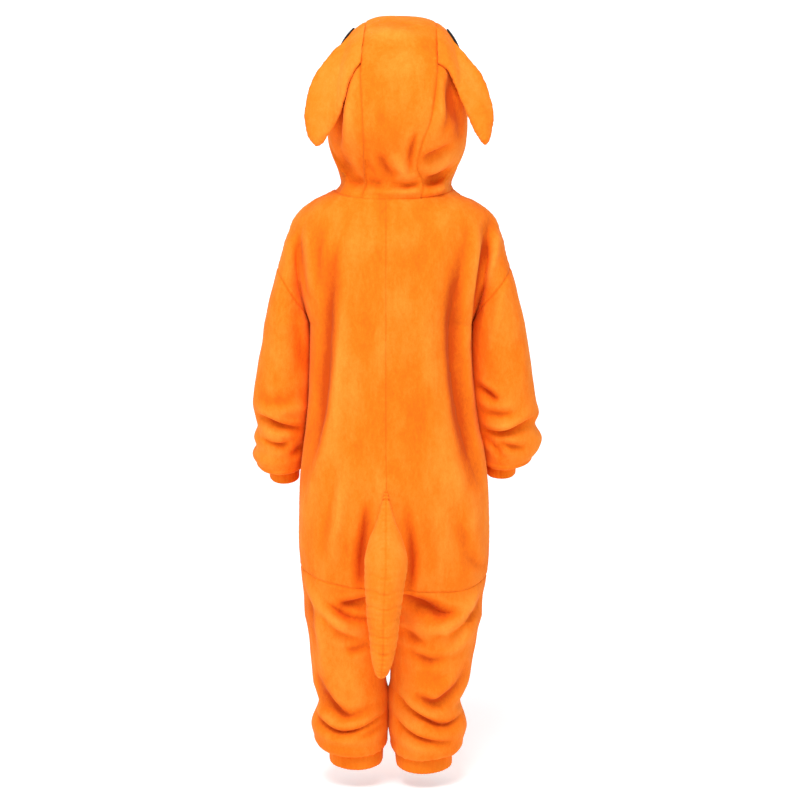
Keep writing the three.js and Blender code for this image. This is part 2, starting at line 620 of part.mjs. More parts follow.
function makeHoodSide(side) {
  const seam = range(ROWS.strip).slice(1).map((j) => (
    hoodPoint(stripPlace(j), rowAt(HOOD_PROFILE, stripPlace(j))[sideName(side)])
  ));
  const face = FACE_EDGE.map((row) => [HOOD.x + side * row.x, row.y, row.z]);
  const neck = neckSpans.slice(STRIP_COLUMNS, THROAT_COLUMN + 1).map((span) => neckPoint(side, span));
  const edge = [neck[0], ...seam, ...face, ...neck.slice(1).reverse(), neck[0]];
  const rows = SIDE_RINGS.map((share) => edge.map((p) => sidePoint(side, p, share)));
  cloth(`hood_${sideName(side)}`, FLEECE, [{ rows, flip: side > 0 }]);
}

// Depth of the back of the hood at x and z, or Infinity past its outline
function hoodBackY(x, z) {
  const reach = Math.abs(x - HOOD.x) / HOOD.halfWidth;
  const crown = HOOD_PROFILE.findIndex((row) => row.z === 280);
  if (reach >= 1 || hoodPoint(crown, x)[2] <= z) return Infinity;
  let [low, high] = [0, crown];
  for (let step = 0; step < 30; step += 1) {
    const middle = (low + high) / 2;
    if (hoodPoint(middle, x)[2] < z) low = middle;
    else high = middle;
  }
  return hoodPoint(low, x)[1];
}

// Ears: two crowned halves that meet at the edge seam, hanging close behind the hood
function makeEar(side) {
  const rows = EARS[sideName(side)];
  for (const face of ['back', 'front']) {
    const away = face === 'back' ? -1 : 1;
    const grid = (filled) => rows.map((row, j) => range(EAR.across).map((i) => {
      const s = i / EAR.across;
      const clearance = j === 0 ? EAR.rootClearance : EAR.clearance;
      const crown = row.half * Math.max(1 - (2 * s - 1) ** 2, 0) ** 0.55;
      const x = lerp(row.outerX, row.innerX, s);
      const z = lerp(row.outerZ, row.innerZ, s);
      const limit = hoodBackY(x, z) - crown - EAR.seam - SEAM_GAP - clearance;
      const y = Math.min(lerp(row.outerY, row.innerY, s), limit);
      return [x, y + away * (SEAM_GAP / 2 + (filled ? EAR.seam + crown : 0)), z];
    }));
    slab(`ear_${sideName(side)}_${face}`, FLEECE, grid(true), grid(false), (away < 0) === (side < 0));
  }
}

// A small surface's direction out, from its neighbours
function outward(surface, a, b, stepA, stepB, away) {
  const along = minus(surface(a + stepA, b), surface(a - stepA, b));
  const over = minus(surface(a, b + stepB), surface(a, b - stepB));
  const normal = unit(cross(along, over));
  return dot(normal, away(surface(a, b))) < 0 ? normal.map((value) => -value) : normal;
}

// Eyes: felt ovals laid on the side panels, near the crown
function makeEye(side) {
  const away = (p) => minus(p, [HOOD.x, HOOD.y, HOOD.z]);
  const cells = range(6).map((i) => i / 3 - 1);
  const grid = (lift) => cells.map((v) => cells.map((u) => {
    const place = EYE.along + EYE.alongHalf * v * Math.sqrt(1 - u * u / 2);
    const x = HOOD.x + side * (EYE.across[sideName(side)] + EYE.acrossHalf * u * Math.sqrt(1 - v * v / 2));
    return plus(hoodPoint(place, x), outward(hoodPoint, place, x, 0.05, 1, away), lift);
  }));
  const { lift, thick } = EYE_PATCH;
  slab(`eye_${sideName(side)}`, FELT, grid(lift + thick), grid(lift), side < 0);
}

// Tail: two halves that meet at the centre seam, clear of the seat behind them
function seatBackY(x, z) {
  const side = Math.sign(x - trunkOval(1, z).mid) || 1;
  const oval = trunkOval(side, z);
  const reach = Math.abs(x - oval.mid) / Math.abs(oval.edge - oval.mid) / (1 + SQUARENESS);
  return trunkPoint(side, THREE.MathUtils.radToDeg(Math.asin(reach)), z)[1];
}

function makeTail(side) {
  const around = range(TAIL_ACROSS).map((i) => (180 * i) / TAIL_ACROSS);
  const grid = (filled) => TAIL.map((row) => around.map((angle) => {
    const a = rad(angle);
    const x = row.mid + side * (TAIL_SEAM + Math.max(row.half - TAIL_SEAM, 0) * Math.sin(a));
    const seat = row.z > CROTCH_Z ? seatBackY(row.mid, row.z) - TAIL_CLEARANCE : Infinity;
    const front = Math.min(row.front, seat);
    const y = (row.back + front) / 2 - ((front - row.back) / 2) * Math.cos(a);
    return [filled ? x : row.mid + side * (SEAM_GAP / 2), y, row.z];
  }));
  slab(`tail_${sideName(side)}`, FLEECE, grid(true), grid(false), side > 0);
}

// Front strip and buttons: laid on the fronts over the centre seam
function frontPoint(x, z) {
  const side = Math.sign(x - trunkOval(1, z).mid) || 1;
  const at = (back) => (z >= ARMPIT_Z ? upperPoint(side, 3 - back, z) : trunkPoint(side, 180 - 90 * back, z));
  let [low, high] = [0, 0.5];
  for (let step = 0; step < 30; step += 1) {
    const middle = (low + high) / 2;
    if (side * (at(middle)[0] - x) < 0) low = middle;
    else high = middle;
  }
  return at(low);
}

const forward = () => [0, 1, 0];

function makeFrontStrip() {
  const across = range(4).map((i) => STRIP.halfWidth * (i / 2 - 1));
  const down = range(STRIP_ROWS).map((j) => lerp(STRIP.top, STRIP.bottom, j / STRIP_ROWS));
  const grid = (lift) => down.map((z) => across.map((dx) => {
    const x = trunkOval(1, z).mid + dx;
    return plus(frontPoint(x, z), outward(frontPoint, x, z, 2, 2, forward), lift);
  }));
  slab('front_strip', FLEECE, grid(LAID_GAP + STRIP.thick), grid(LAID_GAP), false);
}

function makeButton(number) {
  const z = BUTTONS.first + BUTTONS.step * (number - 1);
  const x = trunkOval(1, z).mid;
  const out = outward(frontPoint, x, z, 2, 2, forward);
  const { radius, thick, rise } = BUTTONS;
  const profile = [[0, 0], [radius, 0], [radius, thick - 1], [radius - 1, thick], [radius - 3, thick],
    [radius - 4, thick - 1], [0, thick - 1]];
  const geometry = new THREE.LatheGeometry(profile.map(([r, h]) => new THREE.Vector2(r, h)), 14);
  const mesh = new THREE.Mesh(geometry, new THREE.MeshStandardMaterial(BUTTON));
  mesh.name = `button_${number}`;
  mesh.quaternion.setFromUnitVectors(new THREE.Vector3(0, 1, 0), new THREE.Vector3(...out));
  mesh.position.set(...plus(frontPoint(x, z), out, LAID_GAP + STRIP.thick + rise));
  group.add(mesh);
}

for (const side of [-1, 1]) {
  makeBody(side);
  makeSleeve(side);
  makeLeg(side);
  makeHoodSide(side);
}
makeHoodStrip();
sewAll();
for (const side of [-1, 1]) {
  makeEar(side);
  makeEye(side);
  makeTail(side);
}
makeFrontStrip();
for (let number = 1; number <= BUTTONS.count; number += 1) makeButton(number);

export default group;
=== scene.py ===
import math

import bpy
import numpy as np
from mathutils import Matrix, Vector


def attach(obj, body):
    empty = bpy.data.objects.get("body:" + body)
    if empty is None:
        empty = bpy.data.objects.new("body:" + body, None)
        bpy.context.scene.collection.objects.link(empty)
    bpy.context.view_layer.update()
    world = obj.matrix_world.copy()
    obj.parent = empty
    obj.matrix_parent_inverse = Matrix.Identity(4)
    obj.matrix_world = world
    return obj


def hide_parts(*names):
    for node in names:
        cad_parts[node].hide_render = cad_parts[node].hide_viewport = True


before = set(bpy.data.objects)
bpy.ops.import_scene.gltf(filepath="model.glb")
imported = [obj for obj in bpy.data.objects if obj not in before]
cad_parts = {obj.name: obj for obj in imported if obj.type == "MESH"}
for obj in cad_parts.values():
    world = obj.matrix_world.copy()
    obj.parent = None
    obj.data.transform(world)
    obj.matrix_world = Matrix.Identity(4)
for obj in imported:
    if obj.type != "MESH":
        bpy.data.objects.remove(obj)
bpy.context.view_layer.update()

# Camera: at the eye of a person standing 3.6 m behind the garment, 1 m above the ground,
# looking a little down, with a long lens so that the sides stay nearly parallel.
CAMERA_PLACE = (0.0092, -3.600, 0.080)
CAMERA_PITCH = math.radians(6.2)
PICTURE_WIDTH_PX = 800
FOCAL_LENGTH_PX = 2323
SENSOR_MM = 36.0

camera = bpy.data.objects.new("camera", bpy.data.cameras.new("camera"))
camera.location = CAMERA_PLACE
camera.rotation_euler = (math.pi / 2 - CAMERA_PITCH, 0, 0)
camera.data.sensor_width = SENSOR_MM
camera.data.lens = FOCAL_LENGTH_PX * SENSOR_MM / PICTURE_WIDTH_PX
bpy.context.scene.collection.objects.link(camera)
bpy.context.scene.camera = camera

# Backs: two fleece panels from the neck to the seat seam, each with its half of the dropped
# shoulder. They are cut from short-pile polyester fleece about 3 mm thick and sewn inside out
# at the centre back, the shoulders and the sides, so that every seam lies in a shallow groove.
WALL_MM = 3.0
ARMPIT_Z = -190.0
ARMHOLE_TOP_Z = -104.0
ARMHOLE_RISE = 0.42
SHOULDER_TOP_Z = -14.0
SEAT_Z = -594.0
SEAT_RISE = {-1: (24.0, 0.0), 1: (10.0, -9.0)}
CREASE_ANGLE = math.radians(58)
SQUARENESS = 0.1
NECK_Z = {"back": 3.0, "side": 16.0, "throat": -16.0}
ARM_HALF_DEPTH = 52.0
PARTING_POWER = 1.4

# Height, left and right edge of the shoulders, down to the armpits
SHOULDERS = np.array([
    (16, -92, 92), (7, -108, 105), (0, -122, 120), (-8, -134, 133), (-16, -144, 145),
    (-31, -156, 158), (-47, -162, 164), (-62, -169, 170), (-93, -178, 178), (-124, -186, 188),
    (-155, -194, 195), (-190, -201, 203)], float)

# Height, middle, left and right edge, back and front face and the depth where it is widest
TRUNK = np.array([
    (20, -12, -96, 96, -62, 54, 0), (3, -12, -116, 114, -73, 60, 2), (-16, -12, -126, 121, -83, 66, 4),
    (-60, -12, -131, 122, -97, 82, 6), (-120, -12, -131, 121, -104, 92, 6),
    (-190, -12, -131, 121, -107, 97, 6), (-250, -12, -132, 122, -106, 100, 4),
    (-308, -12, -134, 127, -105, 101, 2), (-354, -12, -138, 133, -107, 102, 0),
    (-385, -12, -142, 140, -109, 102, -2), (-431, -11, -147, 146, -112, 103, -4),
    (-500, -11, -149, 149, -112, 102, -5), (-540, -10, -149, 149, -109, 100, -4),
    (-573, -10, -146, 147, -106, 98, -4), (-600, -10, -144, 143, -102, 96, -3),
    (-650, -10, -140, 138, -98, 92, -2)], float)

# Folds of the body. Face 1 is the back and -1 the front; width on the path's left and right
# hand, depth (below 0 a trough) and the path's x and z, all in millimetres.
BODY_FOLDS = [
    (1, 14, 22, -9.0, [(-88, -60), (-94, -130), (-100, -204), (-107, -300), (-117, -367), (-138, -450)]),
    (1, 15, 18, 5.0, [(-70, -110), (-84, -240), (-91, -300), (-108, -377), (-130, -450), (-140, -530)]),
    (1, 12, 26, -11.5, [(112, -44), (101, -115), (92, -174), (94, -256), (104, -326), (120, -398),
                        (136, -450)]),
    (1, 14, 18, 5.0, [(76, -120), (77, -209), (80, -285), (92, -383), (114, -490)]),
    (1, 11, 11, 5.5, [(124, -36), (126, -79), (120, -133), (108, -215), (112, -256), (120, -320)]),
    (1, 9, 13, -8.0, [(148, -22), (144, -66), (131, -127), (121, -190)]),
    (1, 12, 12, 3.5, [(160, -50), (152, -92), (140, -134)]),
    (1, 14, 14, 3.0, [(-73, -400), (-79, -444), (-91, -517), (-104, -570)]),
    (1, 10, 12, -3.0, [(-90, -400), (-99, -470), (-114, -560)]),
    (1, 17, 9, -8.5, [(-40, -446), (-48, -501), (-53, -557), (-50, -600)]),
    (1, 9, 17, -8.0, [(18, -458), (29, -531), (29, -572), (22, -600)]),
    (1, 10, 10, -4.0, [(-110, -50), (-114, -98), (-112, -150)]),
    (1, 10, 10, 3.5, [(-100, -40), (-108, -88), (-111, -140)]),
    (1, 10, 13, -4.5, [(-148, -36), (-146, -75), (-141, -110), (-130, -160)]),
    (1, 12, 12, 3.0, [(-162, -50), (-156, -90), (-144, -132)]),
    (1, 24, 24, 2.5, [(-60, -30), (-30, -60), (20, -58), (70, -30)]),
    (1, 26, 26, -1.8, [(40, -150), (36, -300), (44, -440)]),
    (1, 20, 20, 2.2, [(58, -440), (70, -500), (84, -580)]),
    (1, 14, 14, -2.2, [(46, -470), (54, -520), (58, -570)]),
    (1, 13, 16, -3.0, [(98, -450), (106, -510), (122, -570)]),
    (1, 18, 18, -1.6, [(-40, -140), (-44, -260), (-52, -390)]),
    (1, 16, 16, 1.8, [(-20, -200), (-24, -300), (-30, -420)]),
    (1, 14, 14, 1.6, [(14, -240), (10, -330), (16, -430)]),
    (1, 10, 12, -3.5, [(112, -540), (128, -560), (146, -570)]),
    (-1, 17, 15, -7.5, [(-88, -90), (-96, -220), (-112, -330), (-130, -430)]),
    (-1, 15, 18, 4.5, [(-66, -150), (-82, -300), (-106, -450)]),
    (-1, 12, 16, -9.5, [(102, -80), (88, -190), (96, -290), (120, -410)]),
    (-1, 14, 14, 4.0, [(66, -140), (74, -280), (96, -430)]),
    (-1, 18, 18, -3.5, [(-92, -440), (-70, -500), (-30, -548)]),
    (-1, 18, 18, -3.0, [(96, -450), (70, -512), (14, -556)]),
]


def table_at(rows, height):
    """Values of a table at any height: a cubic between neighbouring rows whose slopes are those of
    the rows on either side (Hermite)."""
    i = np.clip(np.searchsorted(-rows[:, 0], -height) - 1, 0, len(rows) - 2)
    before, above, below = rows[np.maximum(i - 1, 0)], rows[i], rows[i + 1]
    after = rows[np.minimum(i + 2, len(rows) - 1)]
    step = below[..., :1] - above[..., :1]
    t = np.clip((np.asarray(height)[..., None] - above[..., :1]) / step, 0, 1)
    start = (below - before) / (below[..., :1] - before[..., :1]) * step
    end = (after - above) / (after[..., :1] - above[..., :1]) * step
    return ((2 * t**3 - 3 * t**2 + 1) * above + (t**3 - 2 * t**2 + t) * start
            + (3 * t**2 - 2 * t**3) * below + (t**3 - t**2) * end)


def smooth_rows(rows, place):
    """A row of a table at a real-valued place: a cubic through the four rows around it (Catmull-Rom)."""
    place = np.asarray(place, float)
    i = np.clip(np.floor(place).astype(int), 0, len(rows) - 2)
    t = (place - i)[..., None]
    a, b, c = rows[np.maximum(i - 1, 0)], rows[i], rows[i + 1]
    d = rows[np.minimum(i + 2, len(rows) - 1)]
    return (2 * b + (c - a) * t + (2 * a - 5 * b + 4 * c - d) * t**2 + (3 * b - a - 3 * c + d) * t**3) / 2


def blend(p, q, share):
    """p where share is 0, q where it is 1, and the straight mix between."""
    return p + (q - p) * share


def eased(count, ease=0.55):
    """count + 1 shares from 0 to 1 that lie closer together at both ends, where the seams are."""
    t = np.linspace(0, 1, count + 1)
    return t - ease * np.sin(2 * math.pi * t) / (2 * math.pi)


def trunk_at(side, z):
    """Middle, outer edge, back, front and widest depth of the trunk at a height, for one side."""
    row = table_at(TRUNK, z)
    return row[..., 1], row[..., 2 if side < 0 else 3], row[..., 4], row[..., 5], row[..., 6]


def oval(mid, edge, back, front, widest, side, angle, z):
    """Point of an oval with slightly square corners: x goes with the sine and y with the cosine of the
    angle, each swelled by a tenth of the other's square. Angle 0 is the middle back."""
    sin, cos = np.sin(angle), np.cos(angle)
    depth = np.where(cos > 0, widest - back, front - widest)
    x = mid + side * np.abs(edge - mid) * sin * (1 + SQUARENESS * cos**2)
    y = widest - depth * cos * (1 + SQUARENESS * sin**2)
    return np.stack(np.broadcast_arrays(x, y, z), -1)


def tube(outer, inner, y, half, turn, z):
    """Point of an elliptical tube: turn 0 is its inner edge, a quarter the back, a half the outer edge."""
    x = (outer + inner) / 2 + (inner - outer) / 2 * np.cos(turn)
    return np.stack(np.broadcast_arrays(x, y - half * np.sin(turn), z), -1)


def round_angle(span):
    """Angle of the shoulders' oval at a span: in even steps to the crease behind the arm, over the
    arm to the crease in front of it, and on to the middle of the front."""
    over_arm = CREASE_ANGLE + (math.pi - 2 * CREASE_ANGLE) * (span - 1)
    in_front = math.pi - CREASE_ANGLE * (3 - span)
    return np.where(span <= 1, CREASE_ANGLE * span, np.where(span >= 2, in_front, over_arm))


def upper(side, span, z):
    """Trunk and upper arm: span 0 to 1 is the back, 1 to 2 the arm, 2 to 3 the front. One wide oval
    at the shoulders parts into the trunk's oval and the arm's tube on the way down to the armpit."""
    span, z = np.broadcast_arrays(np.asarray(span, float), np.asarray(z, float))
    mid, edge, back, front, widest = trunk_at(side, z)
    shoulder = table_at(SHOULDERS, z)[..., 1 if side < 0 else 2]
    arm = (span > 1) & (span < 2)
    quarters = np.where(span <= 1, span, span - 1)
    wide = oval(mid, shoulder, back, front, widest, side, round_angle(span), z)
    body = oval(mid, edge, back, front, widest, side, math.pi / 2 * quarters, z)
    sleeve = tube(shoulder, edge, widest, ARM_HALF_DEPTH, 2 * math.pi * (span - 1), z)
    parted = np.clip((SHOULDER_TOP_Z - z) / (SHOULDER_TOP_Z - ARMPIT_Z), 0, 1) ** PARTING_POWER
    return blend(wide, np.where(arm[..., None], sleeve, body), parted[..., None])


def lower(side, angle, z):
    """Trunk below the armpit: its oval at an angle and a height."""
    mid, edge, back, front, widest = trunk_at(side, np.asarray(z, float))
    return oval(mid, edge, back, front, widest, side, angle, z)


def neck_height(span):
    """Height of the neck seam: the side's height, changed by the squared cosine of the angle towards
    the back and the throat."""
    cos = np.cos(round_angle(span))
    end = np.where(cos > 0, NECK_Z["back"], NECK_Z["throat"])
    return NECK_Z["side"] + (end - NECK_Z["side"]) * cos**2


def armhole_height(span):
    """Height of the armhole seam: up from the armpit to the outside of the arm and back, as a power of a
    raised cosine, so that it climbs soon and then runs flat."""
    outward_share = np.maximum((1 - np.cos(2 * math.pi * (span - 1))) / 2, 0)
    return ARMPIT_Z + (ARMHOLE_TOP_Z - ARMPIT_Z) * outward_share**ARMHOLE_RISE


def seat_height(side, angle):
    """Height of the seat seam: raised at the side by the squared sine of the angle, and on the right sunk
    between by the squared sine of twice the angle."""
    rise, dip = SEAT_RISE[side]
    return SEAT_Z + rise * np.sin(angle) ** 2 + dip * np.sin(2 * angle) ** 2


def smooth_step(value, low, high):
    """0 below low, 1 above high and a smooth cubic between."""
    t = np.clip((value - low) / (high - low), 0, 1)
    return t * t * (3 - 2 * t)


WAVES = 12
WAVE_SPREAD = (0.6, 1.5)
WAVE_SUM = 5


def undulation(points, wavelength, seed, stretch=(1, 1, 1)):
    """Soft unevenness, mostly between -1 and 1: the sum of sine waves in seeded random directions,
    scaled down."""
    rng = np.random.default_rng(seed)
    ways = rng.normal(size=(WAVES, 3))
    pace = 2 * math.pi / wavelength * rng.uniform(*WAVE_SPREAD, WAVES)
    ways *= (pace / np.linalg.norm(ways, axis=1))[:, None]
    shift = rng.uniform(0, 2 * math.pi, WAVES)
    return np.sin(points / np.array(stretch) @ ways.T + shift).sum(1) / WAVE_SUM


def beside(points, line):
    """Distance from a sewn line and the way along it: to the nearest of its points, then to the nearest
    place on the straight stretches before and after that point."""
    way = np.concatenate([[0], np.cumsum(np.linalg.norm(np.diff(line, axis=0), axis=1))])
    gap = (points**2).sum(1)[:, None] + (line**2).sum(1)[None] - 2 * points @ line.T
    nearest = gap.argmin(1)
    best, place = np.full(len(points), np.inf), np.zeros(len(points))
    for start in (np.clip(nearest - 1, 0, len(line) - 2), np.clip(nearest, 0, len(line) - 2)):
        a, along = line[start], line[start + 1] - line[start]
        t = np.clip(((points - a) * along).sum(1) / np.maximum((along**2).sum(1), 1e-9), 0, 1)
        off = np.linalg.norm(points - a - along * t[:, None], axis=1)
        place = np.where(off < best, blend(way[start], way[start + 1], t), place)
        best = np.minimum(off, best)
    return best, place


# Steps between the points of a fold's path, how many widths it reaches, and its share at its ends
FOLD_STEPS = 5
FOLD_REACH = 3
FOLD_END = 0.1

# The low lip beside a trough, in shares of its depth and width, and its sharpness
LIP_HEIGHT = 0.28
LIP_PLACE = 1.55
LIP_SHARPNESS = 3
OVERHANG_MM = 5.0
OVERHANG_SHARE = 0.5

# How far a surface must face the fold's way to take all of it, and where painted shade darkens a trough
FACING = 0.45
DARK_FROM = 2
DARK_OVER = 8
DARK_WIDTH = 0.45


def folded(points, normals, folds):
    """What folds do to a sheet: how far they lift it, how far they slide it in x and z, and how much
    painted shade darkens it deep in a crease. A fold is a bell across its smooth path in the x-z plane,
    its two sides of their own width, dying away at its ends; a trough has a low lip on either side.
    Where one side is narrower, it slides over the trough, so that the cloth hangs over its crease."""
    rise, crease = np.zeros(len(points)), np.zeros(len(points))
    slide = np.zeros((len(points), 2))
    for face, left, right, depth, path in folds:
        path = np.array(path, float)
        path = smooth_rows(path, np.linspace(0, len(path) - 1, FOLD_STEPS * (len(path) - 1) + 1))
        wide, narrow = max(left, right), min(left, right)
        low, high = path.min(0) - FOLD_REACH * wide, path.max(0) + FOLD_REACH * wide
        inside = ((points[:, ::2] > low) & (points[:, ::2] < high)).all(1)
        near = np.flatnonzero(inside & (-normals[:, 1] * face > 0))
        if not len(near):
            continue
        p = points[near][:, ::2]
        best, place, hand = np.full(len(near), np.inf), np.zeros(len(near)), np.zeros(len(near))
        towards = np.zeros((len(near), 2))
        for i, (a, b) in enumerate(zip(path[:-1], path[1:])):
            way = b - a
            t = np.clip(((p - a) @ way) / (way @ way), 0, 1)
            gap = a + way * t[:, None] - p
            off = np.hypot(*gap.T)
            closer = off < best
            best = np.where(closer, off, best)
            place = np.where(closer, (i + t) / (len(path) - 1), place)
            hand = np.where(closer, way[1] * gap[:, 0] - way[0] * gap[:, 1], hand)
            towards = np.where(closer[:, None], gap / np.maximum(off, 0.01)[:, None], towards)
        u = best / np.where(hand > 0, left, right)
        lips = LIP_HEIGHT * np.exp(-LIP_SHARPNESS * (u - LIP_PLACE) ** 2) if depth < 0 else 0
        bell = np.exp(-2 * u**2) - lips
        ends = FOLD_END + (1 - FOLD_END) * np.sin(math.pi * place)
        share = smooth_step(-normals[near, 1] * face, 0.0, FACING) * ends
        rise[near] += depth * bell * share
        if depth < 0:
            lean = np.clip(wide / narrow - 1, 0, 1)
            over = (hand > 0) == (left < right)
            lip = np.exp(-(((best - OVERHANG_MM) / OVERHANG_MM) ** 2)) * over
            slide[near] -= (depth * OVERHANG_SHARE * lean * lip * share)[:, None] * towards
            # Painted shade: the middle of a deep trough is darkened, the more the deeper it is
            deep = np.clip((-depth * share - DARK_FROM) / DARK_OVER, 0, 1)
            dark = deep * np.exp(-((best / (DARK_WIDTH * wide)) ** 2))
            crease[near] = np.maximum(crease[near], dark)
    return rise, slide, crease


def welded(grids):
    """One sheet from grids of points (rows, columns, xyz): points alike to 0.01 mm become one, and
    quads with two like corners become triangles. A face is four corners, the last of them the first
    again in a triangle."""
    points, quads, offset = [], [], 0
    for grid in grids:
        rows, columns = grid.shape[:2]
        ids = offset + np.arange(rows * columns).reshape(rows, columns)
        corners = [ids[:-1, :-1], ids[:-1, 1:], ids[1:, 1:], ids[1:, :-1]]
        quads.append(np.stack(corners, -1).reshape(-1, 4))
        points.append(grid.reshape(-1, 3))
        offset += rows * columns
    points, quads = np.concatenate(points), np.concatenate(quads)
    _, first, inverse = np.unique(np.round(points, 2), axis=0, return_index=True, return_inverse=True)
    quads = inverse.reshape(-1)[quads]
    same = quads == np.roll(quads, -1, axis=1)
    turned = np.stack([np.roll(quads, -k, axis=1) for k in range(4)])
    shift = np.where(same.any(1), (same.argmax(1) + 1) % 4, 0)
    quads = turned[shift, np.arange(len(quads))]
    keep = (quads[:, 0] != quads[:, 1]) & (quads[:, 1] != quads[:, 2]) & (quads[:, 0] != quads[:, 2])
    return points[first], quads[keep]


def outward(points, quads):
    """Unit directions out of a sheet: the sum of the crossed diagonals of the faces around each point."""
    corners = points[quads]
    crossed = np.cross(corners[:, 2] - corners[:, 0], corners[:, 3] - corners[:, 1])
    sums = np.zeros_like(points)
    np.add.at(sums, quads.ravel(), np.repeat(crossed, 4, axis=0))
    return sums / np.maximum(np.linalg.norm(sums, axis=1), 1e-9)[:, None]


def mesh_object(name, points, quads, material):
    """A smooth mesh in metres, as an object in the scene."""
    mesh = bpy.data.meshes.new(name)
    triangle = quads[:, 3] == quads[:, 0]
    faces = quads[~triangle].tolist() + quads[triangle, :3].tolist()
    mesh.from_pydata((points / 1000).tolist(), [], faces)
    mesh.shade_smooth()
    mesh.materials.append(material)
    made = bpy.data.objects.new(name, mesh)
    bpy.context.scene.collection.objects.link(made)
    return made


def mesh_of(name, points, quads, values, material):
    """A piece of the garment, with one float attribute for each named array of values."""
    piece = mesh_object(name, points, quads, material)
    for key, value in values.items():
        attribute = piece.data.attributes.new(key, "FLOAT", "POINT")
        attribute.data.foreach_set("value", value.astype(np.float32))
    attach(piece, "root")
    return piece


# How a seam in loose cloth shows: the pace of its puckers along it, how much and how slowly that
# pace sways, the share, pace and start of a second wave, how far off the puckers stand and reach,
# and the widths of the groove and of its dark mark
CLOTH_SEAM = {"pace": 0.62, "sway": 2.2, "slow": 0.093, "second": 0.6, "second_pace": 0.27, "start": 1.0,
              "off": 4, "reach": 6.0, "groove": 2.4, "mark": 1.6}


def sewn(points, line, groove, pucker, seam):
    """What a sewn line does to the cloth near it: how far it moves it, how strong its mark is, and
    the distance from it. Groove and mark are bells over the distance. The puckers are a bell beside
    the line times two sine waves along it, the first with a swaying pace."""
    off, way = beside(points, line)
    beat = np.sin(way * seam["pace"] + seam["sway"] * np.sin(way * seam["slow"]))
    beat = beat + seam["second"] * np.sin(way * seam["second_pace"] + seam["start"])
    puckers = pucker * beat * np.exp(-(((off - seam["off"]) / seam["reach"]) ** 2))
    sunk = puckers - groove * np.exp(-((off / seam["groove"]) ** 2))
    return sunk, np.exp(-((off / seam["mark"]) ** 2)), off


# Height, wavelength, seed and stretch of the cloth's broad and its small unevenness
CLOTH_WAVES = [(1.1, 80, 1, (1, 1, 2.2)), (0.5, 30, 2, (1, 1, 1.5))]
FLAT_SEAM_MARK = 0.6
HELD_MM = 8


def relief(points, normals, own_folds, lines):
    """How a sheet lies: its points moved by its folds, how far each stands out, how near a seam it is and
    how much painted shade darkens its creases. The body's folds run through; a piece's own folds fade at
    its seams. Each sewn line has a groove, small uneven puckers beside it, and a distance within which
    nothing else moves, where two surfaces meet at a corner or lie side by side."""
    rise, slide, crease = folded(points, normals, BODY_FOLDS)
    broad, small = (size * undulation(points, *wave) for size, *wave in CLOTH_WAVES)
    rise += broad + small
    own, own_slide, own_crease = folded(points, normals, own_folds)
    seam, sunk, held, still = (np.full(len(points), value) for value in (0.0, 0.0, 1.0, 1.0))
    for line, groove, pucker, calm in lines:
        sinking, mark, off = sewn(points, line, groove, pucker, CLOTH_SEAM)
        sunk += sinking
        seam = np.maximum(seam, (groove / 2 if groove else FLAT_SEAM_MARK) * mark)
        held *= 1 - np.exp(-((off / HELD_MM) ** 2))
        if calm:
            still *= 1 - np.exp(-((off / calm) ** 2))
    rise = (rise + own * held) * still + sunk
    slide = (slide + own_slide * held[:, None]) * still[:, None]
    moved = points + normals * rise[:, None]
    moved[:, ::2] += slide
    # The rise also paints the cloth lighter on ridges and darker in hollows, and the crease value is painted
    # shade
    return moved, {"rise": rise, "seam": seam, "crease": np.maximum(crease, own_crease * held) * still}


class Shade:
    """One output of a material's nodes. Sums, differences and products of it and of numbers add
    Math nodes."""

    def __init__(self, tree, socket=None):
        self.tree = tree
        self.socket = socket

    def node(self, kind, settings=None, inputs=None, out=0):
        """Adds a node, sets its settings (a ramp's stops are places and colours), then gives its
        sockets their values or links, and returns one of its outputs."""
        made = self.tree.nodes.new(kind)
        for name, value in (settings or {}).items():
            if name == "stops":
                stops = made.color_ramp.elements
                stops[0].position, stops[0].color = value[0]
                stops[1].position, stops[1].color = value[-1]
                for place, colour in value[1:-1]:
                    stops.new(place).color = colour
            else:
                setattr(made, name, value)
        fill(self.tree, made, inputs or {})
        return Shade(self.tree, made.outputs[out])

    def math(self, operation, a, b):
        return self.node("ShaderNodeMath", {"operation": operation}, {0: a, 1: b})

    def __add__(self, other):
        return self.math("ADD", self, other)

    def __sub__(self, other):
        return self.math("SUBTRACT", self, other)

    def __rsub__(self, other):
        return self.math("SUBTRACT", other, self)

    def __mul__(self, other):
        return self.math("MULTIPLY", self, other)

    __radd__ = __add__
    __rmul__ = __mul__


def fill(tree, made, inputs):
    """Gives the inputs of a node their links, where they are shades, or their values."""
    for name, value in inputs.items():
        if isinstance(value, Shade):
            tree.links.new(value.socket, made.inputs[name])
        else:
            made.inputs[name].default_value = value


def material_tree(name):
    """A new material, a shade in its node tree and its Principled shader."""
    material = bpy.data.materials.new(name)
    material.use_nodes = True
    return material, Shade(material.node_tree), material.node_tree.nodes["Principled BSDF"]


def noise(shade, scale, detail, stretch=(1, 1, 1)):
    """Noise on Object coordinates in metres, its scale in features a metre, stretched along the axes."""
    place = shade.node("ShaderNodeTexCoord", out=3)
    place = shade.node("ShaderNodeMapping", None, {"Vector": place, "Scale": stretch})
    return shade.node("ShaderNodeTexNoise", {"noise_dimensions": "3D"},
                      {"Vector": place, "Scale": scale, "Detail": detail, "Roughness": 0.5})


def ramp(tone, *stops):
    """A colour ramp over a tone, from stops of a place and a colour."""
    stops = [(place, (*colour, 1)) for place, colour in stops]
    return tone.node("ShaderNodeValToRGB", {"stops": stops}, {"Fac": tone})


